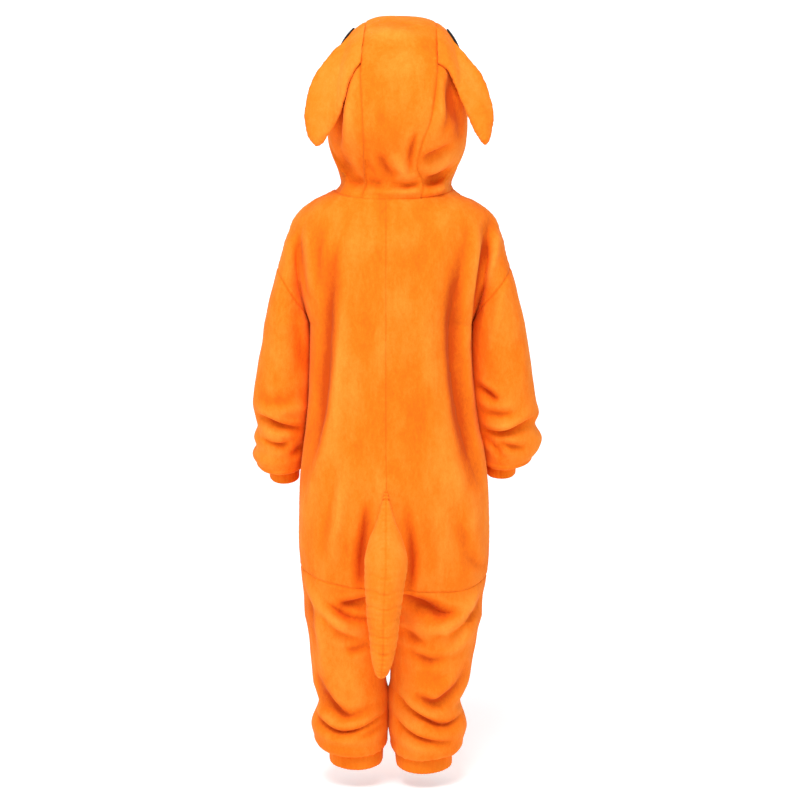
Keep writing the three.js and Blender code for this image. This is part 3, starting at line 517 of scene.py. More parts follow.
def fleece(name, deep, middle, light, pile=0.7):
    """Short-pile fleece: its orange runs from deep over middle to light. Painted shade darkens it in hollows
    and creases and a painted highlight lightens it on ridges; seams are darker, and faint clouds show where
    the pile lies another way; its bump is fine pile over soft tufts."""
    material, shade, shader = material_tree(name)
    rise, seam, crease = (shade.node("ShaderNodeAttribute", {"attribute_name": key}, out=2)
                          for key in ("rise", "seam", "crease"))
    clouds = noise(shade, 16, 3.0, (1, 1, 0.45))
    strokes = noise(shade, 60, 3.0, (1, 1, 0.4))
    tufts = noise(shade, 210, 3.0, (1, 1, 0.6))
    fibres = noise(shade, 900, 2.0, (1, 1, 0.5))
    # Painted shade and highlight: the tone rises with the rise on ridges and falls in hollows and creases;
    # seam lines are darker, and the noises vary it at random
    tone = 0.56 + rise * 0.035 + (clouds - 0.5) * 0.6 + (strokes - 0.5) * 0.3 + (tufts - 0.5) * 0.3
    tone = tone + (fibres - 0.5) * 0.3 - seam * 0.22 - crease * 0.5
    height = strokes * 0.9 + tufts * 0.6 + fibres * 0.3
    bump = {"Strength": pile, "Distance": 0.0016, "Height": height}
    fill(shade.tree, shader, {
        "Base Color": ramp(tone, (0.0, deep), (0.5, middle), (1.0, light)),
        "Roughness": 0.9 + (tufts - 0.5) * 0.15, "Normal": shade.node("ShaderNodeBump", None, bump),
        "Sheen Weight": 0.14, "Sheen Roughness": 0.4, "Sheen Tint": (1.0, 0.62, 0.25, 1),
        "Specular IOR Level": 0.1})
    return material


# Deep, middle and light orange; the deep end also carries painted shade in hollows and creases, the light end
# the painted highlight on ridges
ORANGE_FLEECE = fleece("orange_fleece", (0.62, 0.072, 0.003), (0.92, 0.188, 0.007), (0.97, 0.342, 0.045))


def walled(piece, node, thick):
    """Gives a sheet its wall, inwards from its surface, and hides the CAD node it replaces."""
    wall = piece.modifiers.new("wall", "SOLIDIFY")
    wall.thickness = thick / 1000
    wall.offset = -1
    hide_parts(node)


def cloth(node, grids, own_folds, lines, flat, area=None, held="draped", material=ORANGE_FLEECE):
    """A cut piece in place of its CAD node: the sheet of its grids, moved by its relief, with a wall
    of the cloth's thickness behind it."""
    points, quads = welded(grids)
    moved, values = relief(points, outward(points, quads), own_folds, lines)
    piece = mesh_of(f"{node}_cloth", moved, quads, values, material)
    walled(piece, node, WALL_MM)


NAMES = {-1: "left", 1: "right"}
SIDES = (-1, 1)


def handed(side, grid):
    """A grid whose faces point outwards on either side."""
    return grid if side < 0 else grid[:, ::-1]


# Faces across and down the body's pieces: to the armpits, over the shoulder and to the seat
BODY_ACROSS = 64
SHOULDER_ACROSS = 24
YOKE_DOWN = 72
BODY_DOWN = 150


def body_grids(side, front):
    """Three grids of a back or front: under the neck, over the shoulder, and from armpit to seat."""
    across = (2 if front else 0) + eased(BODY_ACROSS)
    arm = (1.5 if front else 1.0) + eased(SHOULDER_ACROSS, 0.4) / 2
    down = eased(YOKE_DOWN, 0.35)[:, None]
    top = upper(side, across[None], blend(neck_height(across)[None], ARMPIT_Z, down))
    cap = upper(side, arm[None], blend(neck_height(arm)[None], armhole_height(arm)[None], down))
    angle = math.pi / 2 * (eased(BODY_ACROSS) + (1 if front else 0))
    down = eased(BODY_DOWN, 0.35)[:, None]
    body = lower(side, angle[None], blend(ARMPIT_Z, seat_height(side, angle)[None], down))
    return [handed(side, grid) for grid in (top, cap, body)]


LINE_POINTS = 160
ARMHOLE_POINTS = 120


def body_lines(side):
    """The sewn lines of the body on one side, each with its groove, pucker and calm distance in
    millimetres."""
    down, spans = np.linspace(0, 1, LINE_POINTS), np.linspace(0, 3, LINE_POINTS)
    angles, arms = np.linspace(0, math.pi, LINE_POINTS), np.linspace(1, 2, ARMHOLE_POINTS)

    def middle(span, angle):
        """The middle line of back or front, from the neck to the armpits and on to the seat."""
        above = upper(side, span, blend(neck_height(np.float64(span)), ARMPIT_Z, down))
        below = lower(side, angle, blend(ARMPIT_Z, seat_height(side, angle), down[1:]))
        return np.concatenate([above, below])

    over = blend(neck_height(np.float64(1.5)), ARMHOLE_TOP_Z, down)
    beneath = blend(ARMPIT_Z, seat_height(side, math.pi / 2), down)
    return {
        "centre_back": (middle(0, 0), 0.3, 0.1, 0),
        "centre_front": (middle(3, math.pi), 0.9, 0.15, 0),
        "neck": (upper(side, spans, neck_height(spans)), 0, 0, 5),
        "shoulder": (upper(side, 1.5, over), 1.0, 0.2, 0),
        "armhole": (upper(side, arms, armhole_height(arms)), 1.1, 0.3, 0),
        "side": (lower(side, math.pi / 2, beneath), 0.4, 0.1, 20),
        "seat": (lower(side, angles, seat_height(side, angles)), 0.9, 0.3, 0),
    }


BODY_LINES = {side: body_lines(side) for side in SIDES}
BODY_CUT = {"flat": (0.25, 0.64), "area": 0.125}
for side in SIDES:
    cloth(f"back_{NAMES[side]}", body_grids(side, False), (), BODY_LINES[side].values(), **BODY_CUT)

# Fronts: two fleece panels like the backs, a little flatter and lower at the neck, joined down
# the middle under the strip that carries the buttons.
for side in SIDES:
    cloth(f"front_{NAMES[side]}", body_grids(side, True), (), BODY_LINES[side].values(), **BODY_CUT)

# Sleeves: one piece each, closed along the underarm, wider than the arm. The cloth piles up
# above the wrist in soft rolls and bags over the elastic band.

# Height, outer and inner edge, middle in depth and half depth of the sleeves, from the armpit down
SLEEVES = {
    -1: np.array([
        (-190, -201, -131, 6, 52), (-215, -204, -129.6, 7, 51), (-248, -210, -130, 8, 50),
        (-311, -220, -131.8, 11, 49), (-334, -216, -133.2, 14, 46), (-350, -213, -134.6, 18, 45),
        (-367, -219, -136.6, 23, 46), (-382, -216, -138.2, 27, 44), (-398, -222, -139.5, 31, 46),
        (-410, -216, -141, 34, 44)], float),
    1: np.array([
        (-190, 203, 121, 6, 52), (-215, 207, 119.4, 7, 51), (-248, 213, 120, 8, 50),
        (-311, 223, 124.8, 11, 49), (-330, 227, 127, 14, 47), (-348, 222, 128.8, 18, 45),
        (-368, 232, 132.4, 23, 46), (-384, 229, 135.6, 27, 45), (-394, 224, 137.4, 30, 45),
        (-402, 217, 139, 32, 43)], float),
}

# Each band's place across and in depth, its half widths and its height
WRISTS = {-1: (-172, 36, 22.5, 27, 20), 1: (168.5, 34, 22.5, 27, 20)}
WRIST_DROP = 9.0

# How far along the way in to the band, and how far down the drop, the roll has come
ROLL = np.array([(0, 0), (0.06, 0.55), (0.36, 1), (0.72, 1.05), (1, 0.85)], float)
ROLL_RINGS = 16

# The heights between which the sleeve begins to slope, and the slope at its end
FOREARM_TILT = (-250, -410, 0.26)
SLEEVE_FOLDS = [
    (1, 14, 14, -3.5, [(-215, -300), (-190, -309), (-165, -310), (-137, -302)]),
    (1, 13, 12, 3.5, [(-212, -322), (-172, -325), (-138, -320)]),
    (1, 6, 11, -9.0, [(-214, -329), (-190, -339), (-170, -347), (-141, -353)]),
    (1, 6, 10, -6.5, [(-211, -367), (-190, -376), (-172, -378), (-164, -373)]),
    (1, 9, 9, -4.5, [(-164, -396), (-150, -389), (-142, -380)]),
    (1, 9, 9, 3.0, [(-205, -356), (-180, -362), (-156, -364)]),
    (1, 12, 12, -4.0, [(-150, -165), (-143, -231), (-140, -272)]),
    (1, 11, 11, 3.5, [(172, -116), (158, -182), (140, -252)]),
    (1, 10, 12, 2.5, [(199, -220), (200, -260), (199, -297)]),
    (1, 8, 12, -8.0, [(124, -286), (145, -297), (162, -310)]),
    (1, 9, 11, -5.5, [(140, -326), (160, -330), (190, -329)]),
    (1, 6, 12, -9.0, [(138, -356), (159, -357), (180, -353), (222, -335)]),
    (1, 7, 9, -6.0, [(160, -373), (180, -380), (206, -386)]),
    (1, 7, 7, -4.0, [(138, -367), (156, -381), (169, -397)]),
    (1, 11, 11, 3.0, [(146, -342), (180, -342), (214, -324)]),
    (-1, 12, 12, -6.0, [(-208, -246), (-172, -266), (-150, -260)]),
    (-1, 9, 12, -7.0, [(-214, -318), (-176, -334), (-150, -326)]),
    (-1, 10, 10, -5.0, [(-214, -358), (-184, -368), (-152, -362)]),
    (-1, 12, 12, -6.0, [(210, -240), (176, -262), (144, -254)]),
    (-1, 9, 12, -7.0, [(222, -314), (184, -330), (152, -322)]),
    (-1, 10, 10, -5.0, [(226, -356), (190, -364), (156, -358)]),
]


def section_tube(row, turn, z):
    """Point of the elliptical tube that a row of a table gives."""
    return tube(row[..., 1], row[..., 2], row[..., 3], row[..., 4], turn, z)


def tilted(points, tilt, centre_y):
    """Points lifted towards the front by a slope that grows from one height to the other."""
    start, end, slope = tilt
    share = np.clip((start - points[..., 2]) / (start - end), 0, 1)
    return points + share[..., None] * slope * (points[..., 1:2] - centre_y) * np.array([0, 0, 1])


def rolled(last, band, drop, turns):
    """Rings that roll the cloth in under itself, from the last section of a tube to its band."""
    x, y, half_x, half_y, _ = band
    out = np.sign(last[1] - last[2])
    ways = smooth_rows(ROLL, np.linspace(0, len(ROLL) - 1, ROLL_RINGS + 1)[1:])
    z = (last[0] - ways[:, 1] * drop)[:, None]
    narrow = tube(x + out * half_x, x - out * half_x, y, half_y, turns[None], z)
    return blend(section_tube(last, turns[None], z), narrow, ways[:, :1, None])


SLEEVE_ROUND = 112
SLEEVE_DOWN = 140


def sleeve_grid(side):
    """Rings from the armhole down the arm, then the roll over the wrist band."""
    sections = SLEEVES[side]
    span = np.linspace(1, 2, SLEEVE_ROUND + 1)
    span = np.where(span == 2, 1, span)[None]
    turn = 2 * math.pi * (span - 1)
    z = blend(armhole_height(span), sections[-1, 0], eased(SLEEVE_DOWN, 0.2)[:, None])
    below = section_tube(table_at(sections, z), turn, z)
    grid = np.where(z[..., None] >= ARMPIT_Z, upper(side, span, z), below)
    ends = rolled(sections[-1], WRISTS[side], WRIST_DROP, turn[0])
    return tilted(np.concatenate([grid, ends]), FOREARM_TILT, sections[-1, 3])


SLEEVE_CUT = {"flat": (0.29, 0.33), "area": 0.08}
SLEEVE_RINGS = {side: sleeve_grid(side) for side in SIDES}
for side in SIDES:
    rings = SLEEVE_RINGS[side]
    underarm = (rings[:-ROLL_RINGS, 0], 0.3, 0.1, 20)
    lines = [BODY_LINES[side]["armhole"], underarm, (rings[-1], 1.4, 0.5, 0)]
    cloth(f"sleeve_{NAMES[side]}", [handed(side, rings)], SLEEVE_FOLDS, lines, held="gathered", **SLEEVE_CUT)

# Wrist and ankle bands: short tubes of the same fleece, doubled over a flat elastic and sewn to
# the gathered ends of the sleeves and legs, so they are drawn into fine upright pleats.

# Height, outer and inner edge, middle in depth and half depth of the legs, from the crotch down
LEGS = {
    -1: np.array([
        (-650, -140, -10, -2, 92), (-675, -135, -12.5, -2, 84), (-724, -131, -12.9, -1, 77),
        (-756, -128, -12.2, -1, 74), (-772, -123, -8.4, -1, 70), (-788, -119, -8.2, 0, 67),
        (-820, -130, -8.4, 0, 70), (-840, -126, -10.3, 0, 67)], float),
    1: np.array([
        (-650, 138, -10, -2, 92), (-675, 132, -7, -2, 84), (-724, 124, -6.2, -1, 77),
        (-756, 118, -6.8, -1, 74), (-772, 111, -10.4, -1, 70), (-786, 105, -10.6, 0, 67),
        (-822, 115, -10.2, 0, 70), (-846, 109, -6.5, 0, 67)], float),
}
ANKLES = {-1: (-59.5, -2, 41.5, 49, 27), 1: (47, -2, 44, 50, 27)}
ANKLE_DROP = 16.0
ANKLE_TILT = (-780, -850, 0.14)
CROTCH_Z = -650.0
CROTCH_POWER = 1.3
LEG_ROUND = 160
LEG_DOWN = {"thigh": 30, "shin": 97}


def leg_grid(side):
    """Rings from the seat seam, where the leg is half of the trunk's oval, over the crotch, where it
    has closed to a tube, and down to the roll over the ankle band."""
    sections = LEGS[side]
    turn = np.linspace(0, 2 * math.pi, LEG_ROUND + 1)
    thigh = blend(seat_height(side, turn / 2)[None], CROTCH_Z, eased(LEG_DOWN["thigh"], 0.3)[:, None])
    shin = blend(CROTCH_Z, sections[-1, 0], np.linspace(0, 1, LEG_DOWN["shin"] + 1)[1:, None])
    z = np.concatenate([thigh, shin + 0 * turn[None]])
    round_turn = np.where(turn == 2 * math.pi, 0, turn)
    closed = section_tube(table_at(sections, z), round_turn[None], z)
    parted = np.clip((SEAT_Z - z) / (SEAT_Z - CROTCH_Z), 0, 1)[..., None] ** CROTCH_POWER
    grid = blend(lower(side, turn[None] / 2, z), closed, parted)
    ends = rolled(sections[-1], ANKLES[side], ANKLE_DROP, round_turn)
    return tilted(np.concatenate([grid, ends]), ANKLE_TILT, sections[-1, 3])


BAND_DOWN = 10
BAND_BULGE = 0.8
PLEAT_DEPTH = 0.35


def pleats(turn, count):
    """Uneven upright pleats round a band: a sine wave of swaying pace and a slower one, dying away
    at the seam."""
    beat = np.sin(count * turn + 1.4 * np.sin(3 * turn)) + 0.5 * np.sin(count * 0.62 * turn)
    return beat * np.sin(turn / 2) ** 0.3


def band_grid(top, height, count):
    """A band down from the last ring of its sleeve or leg: it bulges by half a sine wave, and its
    pleats are deepest at both edges."""
    down = np.linspace(0, 1, BAND_DOWN + 1)[:, None]
    beat = pleats(np.linspace(0, 2 * math.pi, len(top)), count)
    bulge = BAND_BULGE * np.sin(math.pi * down)
    bulge = bulge + PLEAT_DEPTH * beat[None] * (0.5 + np.cos(math.pi * down) ** 2)
    away = (top - top.mean(0)) * np.array([1, 1, 0])
    away /= np.linalg.norm(away, axis=1)[:, None]
    return top[None] - down[..., None] * height * np.array([0, 0, 1]) + away[None] * bulge[..., None]


LEG_RINGS = {side: leg_grid(side) for side in SIDES}
# The bands get a darker copy of the same fleece: painted shade, as they lie under the rolled cloth above them
SHADED_BAND_FLEECE = fleece("shaded_band_fleece", (0.56, 0.06, 0.002), (0.88, 0.182, 0.006), (0.95, 0.285, 0.022), 0.45)
BANDS = {
    "wrist": (SLEEVE_RINGS, WRISTS, 26, (0.155, 0.022)),
    "ankle": (LEG_RINGS, ANKLES, 44, (0.29, 0.029)),
}
for place, (rings, sizes, count, cut) in BANDS.items():
    for side in SIDES:
        band = band_grid(rings[side][-1], sizes[side][4], count)
        cloth(f"{place}_band_{NAMES[side]}", [handed(side, band)], (), [(band[0], 1.0, 0.3, 0)], cut,
              held="stretched", material=SHADED_BAND_FLEECE)

# Legs: one piece each, from the seat seam to the ankle, closed along the inside. They are much
# longer than the wearer's legs, so the cloth sinks in deep slanting folds above the ankles.
LEG_FOLDS = [
    (1, 15, 15, 6.0, [(-140, -584), (-112, -623), (-74, -658), (-50, -671)]),
    (1, 7, 16, -8.0, [(-88, -618), (-66, -613), (-30, -604)]),
    (1, 7, 15, -6.5, [(-112, -612), (-88, -627), (-62, -638), (-24, -642)]),
    (1, 10, 12, -5.5, [(-130, -622), (-92, -655), (-69, -667), (-46, -676)]),
    (1, 9, 9, -4.5, [(-78, -688), (-58, -690), (-34, -680)]),
    (1, 12, 10, 4.0, [(-130, -640), (-116, -667), (-110, -700), (-104, -740)]),
    (1, 8, 12, -4.5, [(-140, -598), (-131, -628), (-124, -657), (-120, -692)]),
    (1, 10, 16, -9.0, [(-124, -728), (-108, -764), (-90, -786), (-66, -797), (-28, -782)]),
    (1, 6, 12, -10.0, [(-126, -803), (-104, -814), (-82, -820), (-50, -816), (-14, -800)]),
    (1, 8, 8, -4.5, [(-60, -833), (-36, -828), (-14, -815)]),
    (1, 14, 12, 3.5, [(-116, -792), (-80, -806), (-26, -794)]),
    (1, 9, 24, -12.0, [(0, -602), (24, -606), (50, -615), (76, -629), (112, -634)]),
    (1, 15, 15, 6.0, [(139, -590), (105, -633), (70, -657), (40, -678)]),
    (1, 14, 9, -5.0, [(142, -604), (126, -634), (102, -658), (76, -674)]),
    (1, 10, 10, -4.0, [(50, -672), (66, -667), (80, -662)]),
    (1, 11, 11, -6.0, [(12, -656), (28, -670), (54, -681)]),
    (1, 12, 12, 4.0, [(132, -640), (98, -686), (70, -697)]),
    (1, 9, 12, -6.0, [(18, -688), (40, -701), (60, -707), (88, -701)]),
    (1, 10, 12, -8.0, [(26, -760), (46, -771), (68, -776), (98, -752), (114, -724)]),
    (1, 6, 12, -10.0, [(2, -764), (26, -785), (50, -799), (80, -811), (112, -803)]),
    (1, 6, 12, -8.0, [(0, -805), (22, -822), (48, -834), (92, -842)]),
    (1, 14, 14, 4.0, [(8, -752), (44, -788), (92, -798)]),
    (1, 12, 12, 3.0, [(10, -828), (40, -846), (84, -852)]),
    (1, 18, 18, -2.5, [(40, -720), (60, -735), (90, -728)]),
    (-1, 15, 15, 5.0, [(-134, -596), (-100, -640), (-58, -668)]),
    (-1, 12, 12, -6.0, [(-110, -612), (-76, -628), (-40, -626)]),
    (-1, 12, 14, -8.0, [(134, -600), (88, -634), (38, -642)]),
    (-1, 13, 13, -7.0, [(-114, -698), (-66, -714), (-24, -696)]),
    (-1, 14, 14, -8.0, [(10, -712), (60, -738), (108, -720)]),
    (-1, 8, 13, -9.0, [(-120, -772), (-72, -798), (-24, -784)]),
    (-1, 8, 13, -9.0, [(6, -778), (56, -804), (106, -788)]),
    (-1, 8, 10, -6.0, [(-120, -816), (-72, -830), (-22, -818)]),
    (-1, 8, 10, -6.0, [(8, -820), (56, -836), (102, -824)]),
]
LEG_CUT = {"flat": (0.46, 0.30), "area": 0.125}
for side in SIDES:
    rings = LEG_RINGS[side]
    lines = [BODY_LINES[side]["seat"], (rings[:, 0], 0.4, 0.1, 14), (rings[-1], 1.4, 0.6, 0)]
    cloth(f"leg_{NAMES[side]}", [handed(side, rings)], LEG_FOLDS, lines, held="gathered", **LEG_CUT)

# Hood: a long strip from the nape over the crown to the brow between two side panels, sewn to
# the neck all round but for the throat. It stands away from the head and is drawn in at the nape.
HOOD_CENTRE = np.array([5.0, -10.0, 110.0])
HOOD_HALF_WIDTH = 107.0
HOOD_POWERS = (2.6, 3.1)
WAIST = {"z": 27.0, "above": 42.0, "below": 12.0, "pull": 0.15}

# Depth and height of the middle line from the nape to the brow, and x of the two strip seams
HOOD_PROFILE = np.array([
    (-73, 3, -51, 38), (-82, 25, -55, 52), (-99, 50, -52, 39), (-114, 84, -47, 43), (-123, 118, -47, 55),
    (-124, 160, -49, 62), (-112, 205, -51, 66), (-88, 240, -50, 66), (-52, 267, -45, 66),
    (-8, 280, -44, 64), (34, 276, -43, 62), (68, 259, -42, 59), (92, 232, -40, 56)], float)

# Distance from the middle, depth and height of the face opening's edge, from the brow down
FACE_EDGE = np.array([
    (66, 98, 210), (78, 101, 178), (84, 101, 142), (85, 98, 106), (81, 92, 70), (70, 82, 36),
    (50, 72, 8)], float)

# How far round the neck the strip's two seams meet it, and where the face opening ends
NECK_SHARES = (0.34, 0.42)
THROAT_SPAN = 2.75
NAPE_BLEND = 0.75
NECK_TUCK = np.array([0, 0, 1.0])
HOOD_FOLDS = [
    (1, 9, 7, -3.5, [(-90, 36), (-60, 31), (-30, 27), (-2, 26)]),
    (1, 9, 7, -4.5, [(-6, 27), (14, 23), (34, 25), (50, 30)]),
    (1, 9, 7, -4.0, [(44, 25), (66, 29), (92, 38)]),
    (1, 8, 8, 3.0, [(-96, 18), (-44, 13), (4, 11), (44, 13), (98, 17)]),
    (1, 10, 9, 4.0, [(-54, 212), (-61, 176), (-64, 128), (-58, 84), (-50, 44)]),
    (1, 8, 18, -11.0, [(-64, 208), (-71, 165), (-76, 138), (-80, 110), (-83, 78)]),
    (1, 8, 8, -2.5, [(-56, 196), (-60, 130), (-55, 56)]),
    (1, 10, 10, 2.0, [(-24, 200), (-30, 130), (-24, 70)]),
    (1, 20, 20, -2.0, [(-34, 228), (4, 220), (40, 230)]),
    (1, 14, 14, 2.5, [(-40, 244), (4, 250), (54, 243)]),
    (1, 14, 14, -2.5, [(-40, 262), (-16, 268), (8, 262)]),
    (1, 12, 7, -6.5, [(34, 104), (24, 70), (25, 40)]),
    (1, 8, 11, -5.5, [(-20, 72), (-13, 50), (6, 33)]),
    (1, 9, 12, -4.5, [(-46, 78), (-40, 54), (-24, 36)]),
    (1, 9, 10, 5.0, [(0, 70), (11, 52), (30, 33)]),
    (1, 7, 13, -6.5, [(36, 62), (62, 72), (90, 88)]),
    (1, 9, 9, 4.5, [(42, 46), (62, 54), (90, 70)]),
    (1, 7, 11, -5.5, [(46, 33), (66, 37), (92, 52)]),
    (1, 15, 18, -8.5, [(90, 210), (88, 160), (98, 118), (100, 84)]),
    (1, 12, 12, 5.0, [(74, 206), (72, 152), (72, 118), (58, 82)]),
    (1, 12, 8, -4.5, [(82, 178), (80, 130), (70, 96)]),
    (1, 12, 12, -4.0, [(-84, 76), (-72, 50), (-60, 38)]),
    (-1, 16, 16, -3.0, [(-60, 60), (-74, 40), (-70, 22)]),
    (-1, 16, 16, -3.0, [(70, 60), (84, 40), (80, 22)]),
]


def waisted(points):
    """Points drawn towards the hood's upright axis by a share that is a bell over the height."""
    over = points[..., 2:] - WAIST["z"]
    keep = 1 - WAIST["pull"] * np.exp(-((over / np.where(over > 0, WAIST["above"], WAIST["below"])) ** 2))
    axis = HOOD_CENTRE * np.array([1, 1, 0])
    return points * np.array([0, 0, 1]) + axis + (points * np.array([1, 1, 0]) - axis) * keep


def hood(place, x):
    """Point of the hood's egg: the middle line at a place along its profile, shrunk to the centre by the
    superellipse share that goes with x."""
    row = smooth_rows(HOOD_PROFILE, place)
    power = np.where(x < HOOD_CENTRE[0], *HOOD_POWERS)
    share = (1 - np.abs((x - HOOD_CENTRE[0]) / HOOD_HALF_WIDTH) ** power) ** (1 / power)
    y, z = blend(HOOD_CENTRE[1], row[..., 0], share), blend(HOOD_CENTRE[2], row[..., 1], share)
    return waisted(np.stack(np.broadcast_arrays(x, y, z), -1))


def hood_strip(across, place):
    """Point of the strip: across runs from -1 at its left seam to 1 at its right, and place along the
    profile. Near the nape it runs into the body's neck seam."""
    across, place = np.broadcast_arrays(np.asarray(across, float), np.asarray(place, float))
    row = smooth_rows(HOOD_PROFILE, place)
    free = hood(place, blend(row[..., 2], row[..., 3], (across + 1) / 2))
    span = np.where(across < 0, *NECK_SHARES) * np.abs(across)
    left, right = (upper(side, span, neck_height(span)) for side in SIDES)
    neck = np.where((across < 0)[..., None], left, right)
    return blend(neck - NECK_TUCK, free, smooth_step(place, 0, NAPE_BLEND)[..., None])


def hood_side_edge(side):
    """The closed edge of a side panel: up its strip seam, down the face opening and back along the neck."""
    last = len(HOOD_PROFILE) - 1
    seam = hood_strip(side, np.linspace(0, last, 121))
    face = FACE_EDGE * np.array([side, 1, 1]) + np.array([HOOD_CENTRE[0], 0, 0])
    spans = np.linspace(THROAT_SPAN, NECK_SHARES[side > 0], 91)
    neck = upper(side, spans, neck_height(spans)) - NECK_TUCK
    turns = np.concatenate([seam[-1:], face, neck[:1]])
    opening = smooth_rows(turns, np.linspace(0, len(turns) - 1, 65))
    return np.concatenate([seam, opening[1:], neck[1:]]), seam, opening, neck


SIDE_RIM = 0.93
SIDE_REACH = 0.999


def hood_side(side, edge, share):
    """Point of a side panel between its edge, share 1, and the middle of the hood's side, share 0."""
    reach = np.minimum(np.abs(edge[..., 0] - HOOD_CENTRE[0]) / HOOD_HALF_WIDTH, SIDE_REACH)
    power = HOOD_POWERS[side > 0]
    out = (1 - (1 - reach**power) * share**power) ** (1 / power)
    y, z = blend(HOOD_CENTRE[1], edge[..., 1], share), blend(HOOD_CENTRE[2], edge[..., 2], share)
    inner = waisted(np.stack([HOOD_CENTRE[0] + side * HOOD_HALF_WIDTH * out, y, z], -1))
    return blend(inner, edge + 0 * inner, smooth_step(share, SIDE_RIM, 1)[..., None])


HOOD_ACROSS = 46
STRIP_ALONG = 180
HOOD_EDGES = {side: hood_side_edge(side) for side in SIDES}
HOOD_LINES = {}
for side in SIDES:
    _, seam, opening, neck = HOOD_EDGES[side]
    HOOD_LINES[side] = [(seam, 1.2, 0.25, 0), (neck, 0, 0, 5), (opening, 1.2, 0.15, 0)]
strip_neck, strip_brow = (hood_strip(np.linspace(-1, 1, 80), place) for place in (0, len(HOOD_PROFILE) - 1))
STRIP_LINES = [HOOD_LINES[-1][0], HOOD_LINES[1][0], (strip_neck, 0, 0, 5), (strip_brow, 1.2, 0.15, 0)]
across = 2 * eased(HOOD_ACROSS)[None] - 1
along = (len(HOOD_PROFILE) - 1) * np.linspace(0, 1, STRIP_ALONG + 1)[:, None]
cloth("hood_centre", [hood_strip(across, along)], HOOD_FOLDS, STRIP_LINES, (0.12, 0.50), area=0.053)
for side in SIDES:
    grid = hood_side(side, HOOD_EDGES[side][0][None], 1 - eased(HOOD_ACROSS, 0.5)[:, None])
    cloth(f"hood_{NAMES[side]}", [handed(side, grid)], HOOD_FOLDS, HOOD_LINES[side], (0.26, 0.32), area=0.062)

# Ears: long leaf-shaped pads of two fleece halves sewn edge to edge and lightly stuffed. They
# are caught in the strip seams near the crown and hang close behind the hood.
EAR_CROWN = 0.55
EAR_SEAM = 0.8
EAR_GAP = 0.3
EAR_CLEARANCE = (0.3, 3.0)
EAR_DOWN = 72
EAR_ROUND = 64
# Place of the crown on the hood's profile, and how far out a hood's side still has a back
CROWN_PLACE = 9
HOOD_INSIDE = 0.98
HALVINGS = 26

# Rows from root to tip: x, z and y of the outer edge, x, z and y of the inner edge, half thickness
EARS = {
    -1: np.array([
        (-44, 264, -36, -50, 207, -96, 1.2), (-64, 250, -44, -59, 195, -98, 3.5),
        (-90, 225, -62, -67, 176, -100, 6.5), (-113, 196, -76, -73, 154, -98, 7),
        (-127, 166, -84, -80, 133, -96, 7), (-133, 135, -88, -89, 115, -95, 7),
        (-131, 107, -90, -99, 100, -94, 6.5), (-126, 93, -92, -106, 89, -94, 5),
        (-120, 86, -93, -111, 84.5, -93, 3), (-117, 83, -93, -114, 83, -93, 1)], float),
    1: np.array([
        (65, 262, -36, 66.5, 205, -96, 1.2), (81, 249, -44, 81, 196, -98, 3.5),
        (107.5, 219, -62, 92, 172, -100, 6.5), (130, 189, -76, 101, 151, -98, 7),
        (143, 159, -84, 110, 131, -96, 7), (149, 130, -88, 117, 114, -95, 7),
        (147, 107, -90, 124, 101, -94, 6), (144, 95, -92, 130, 92, -94, 4.5),
        (140, 88.5, -93, 134, 87.5, -93, 2.5), (138, 86, -93, 136, 86, -93, 1)], float),
}


def hood_back(x, z):
    """Depth of the hood's back at x and z, by halving the profile, or far forward past its outline."""
    half = HOOD_INSIDE * HOOD_HALF_WIDTH
    inside = np.clip(x, HOOD_CENTRE[0] - half, HOOD_CENTRE[0] + half)
    low, high = np.zeros_like(x), np.full_like(x, CROWN_PLACE)
    for _ in range(HALVINGS):
        middle = (low + high) / 2
        below = hood(middle, inside)[..., 2] < z
        low, high = np.where(below, middle, low), np.where(below, high, middle)
    over = hood(np.full_like(x, CROWN_PLACE), inside)[..., 2] <= z
    beside_it = np.abs(x - HOOD_CENTRE[0]) >= HOOD_HALF_WIDTH
    return np.where(over | beside_it, 1e3, hood(low, inside)[..., 1])


# The ears and tail get a paler copy of the fleece: painted light, as the tail stands out nearer the lamps
LIT_PAD_FLEECE = fleece("lit_pad_fleece", (0.64, 0.077, 0.003), (0.93, 0.214, 0.011), (0.97, 0.34, 0.05))
PAD_SEAM = {"pace": 0.9, "sway": 2.0, "slow": 0.11, "second": 0.5, "second_pace": 0.41, "start": 0.0,
            "off": 4, "reach": 4.5, "groove": 2.0, "mark": 1.6}
PAD_MARK = 0.5
# Painted shade in the hollows of ears and tail: how deep a hollow sinks to darken fully, and the most it
# darkens
PAD_DARK_OVER = 12
PAD_DARKEST = 0.3


def pad(name, points, quads, nodes, lines, own):
    """A stuffed piece in place of its CAD halves: its closed sheet, with its own unevenness, sunk
    and puckered along its seams, and painted shade darkening its hollows."""
    rise, seam = own, np.zeros(len(points))
    for line, groove, pucker in lines:
        sunk, mark, _ = sewn(points, line, groove, pucker, PAD_SEAM)
        rise = rise + sunk
        seam = np.maximum(seam, PAD_MARK * mark)
    values = {"rise": rise, "seam": seam, "crease": np.clip(-rise / PAD_DARK_OVER, 0, PAD_DARKEST)}
    moved = points + outward(points, quads) * rise[:, None]
    piece = mesh_of(name, moved, quads, values, LIT_PAD_FLEECE)
    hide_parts(*nodes)


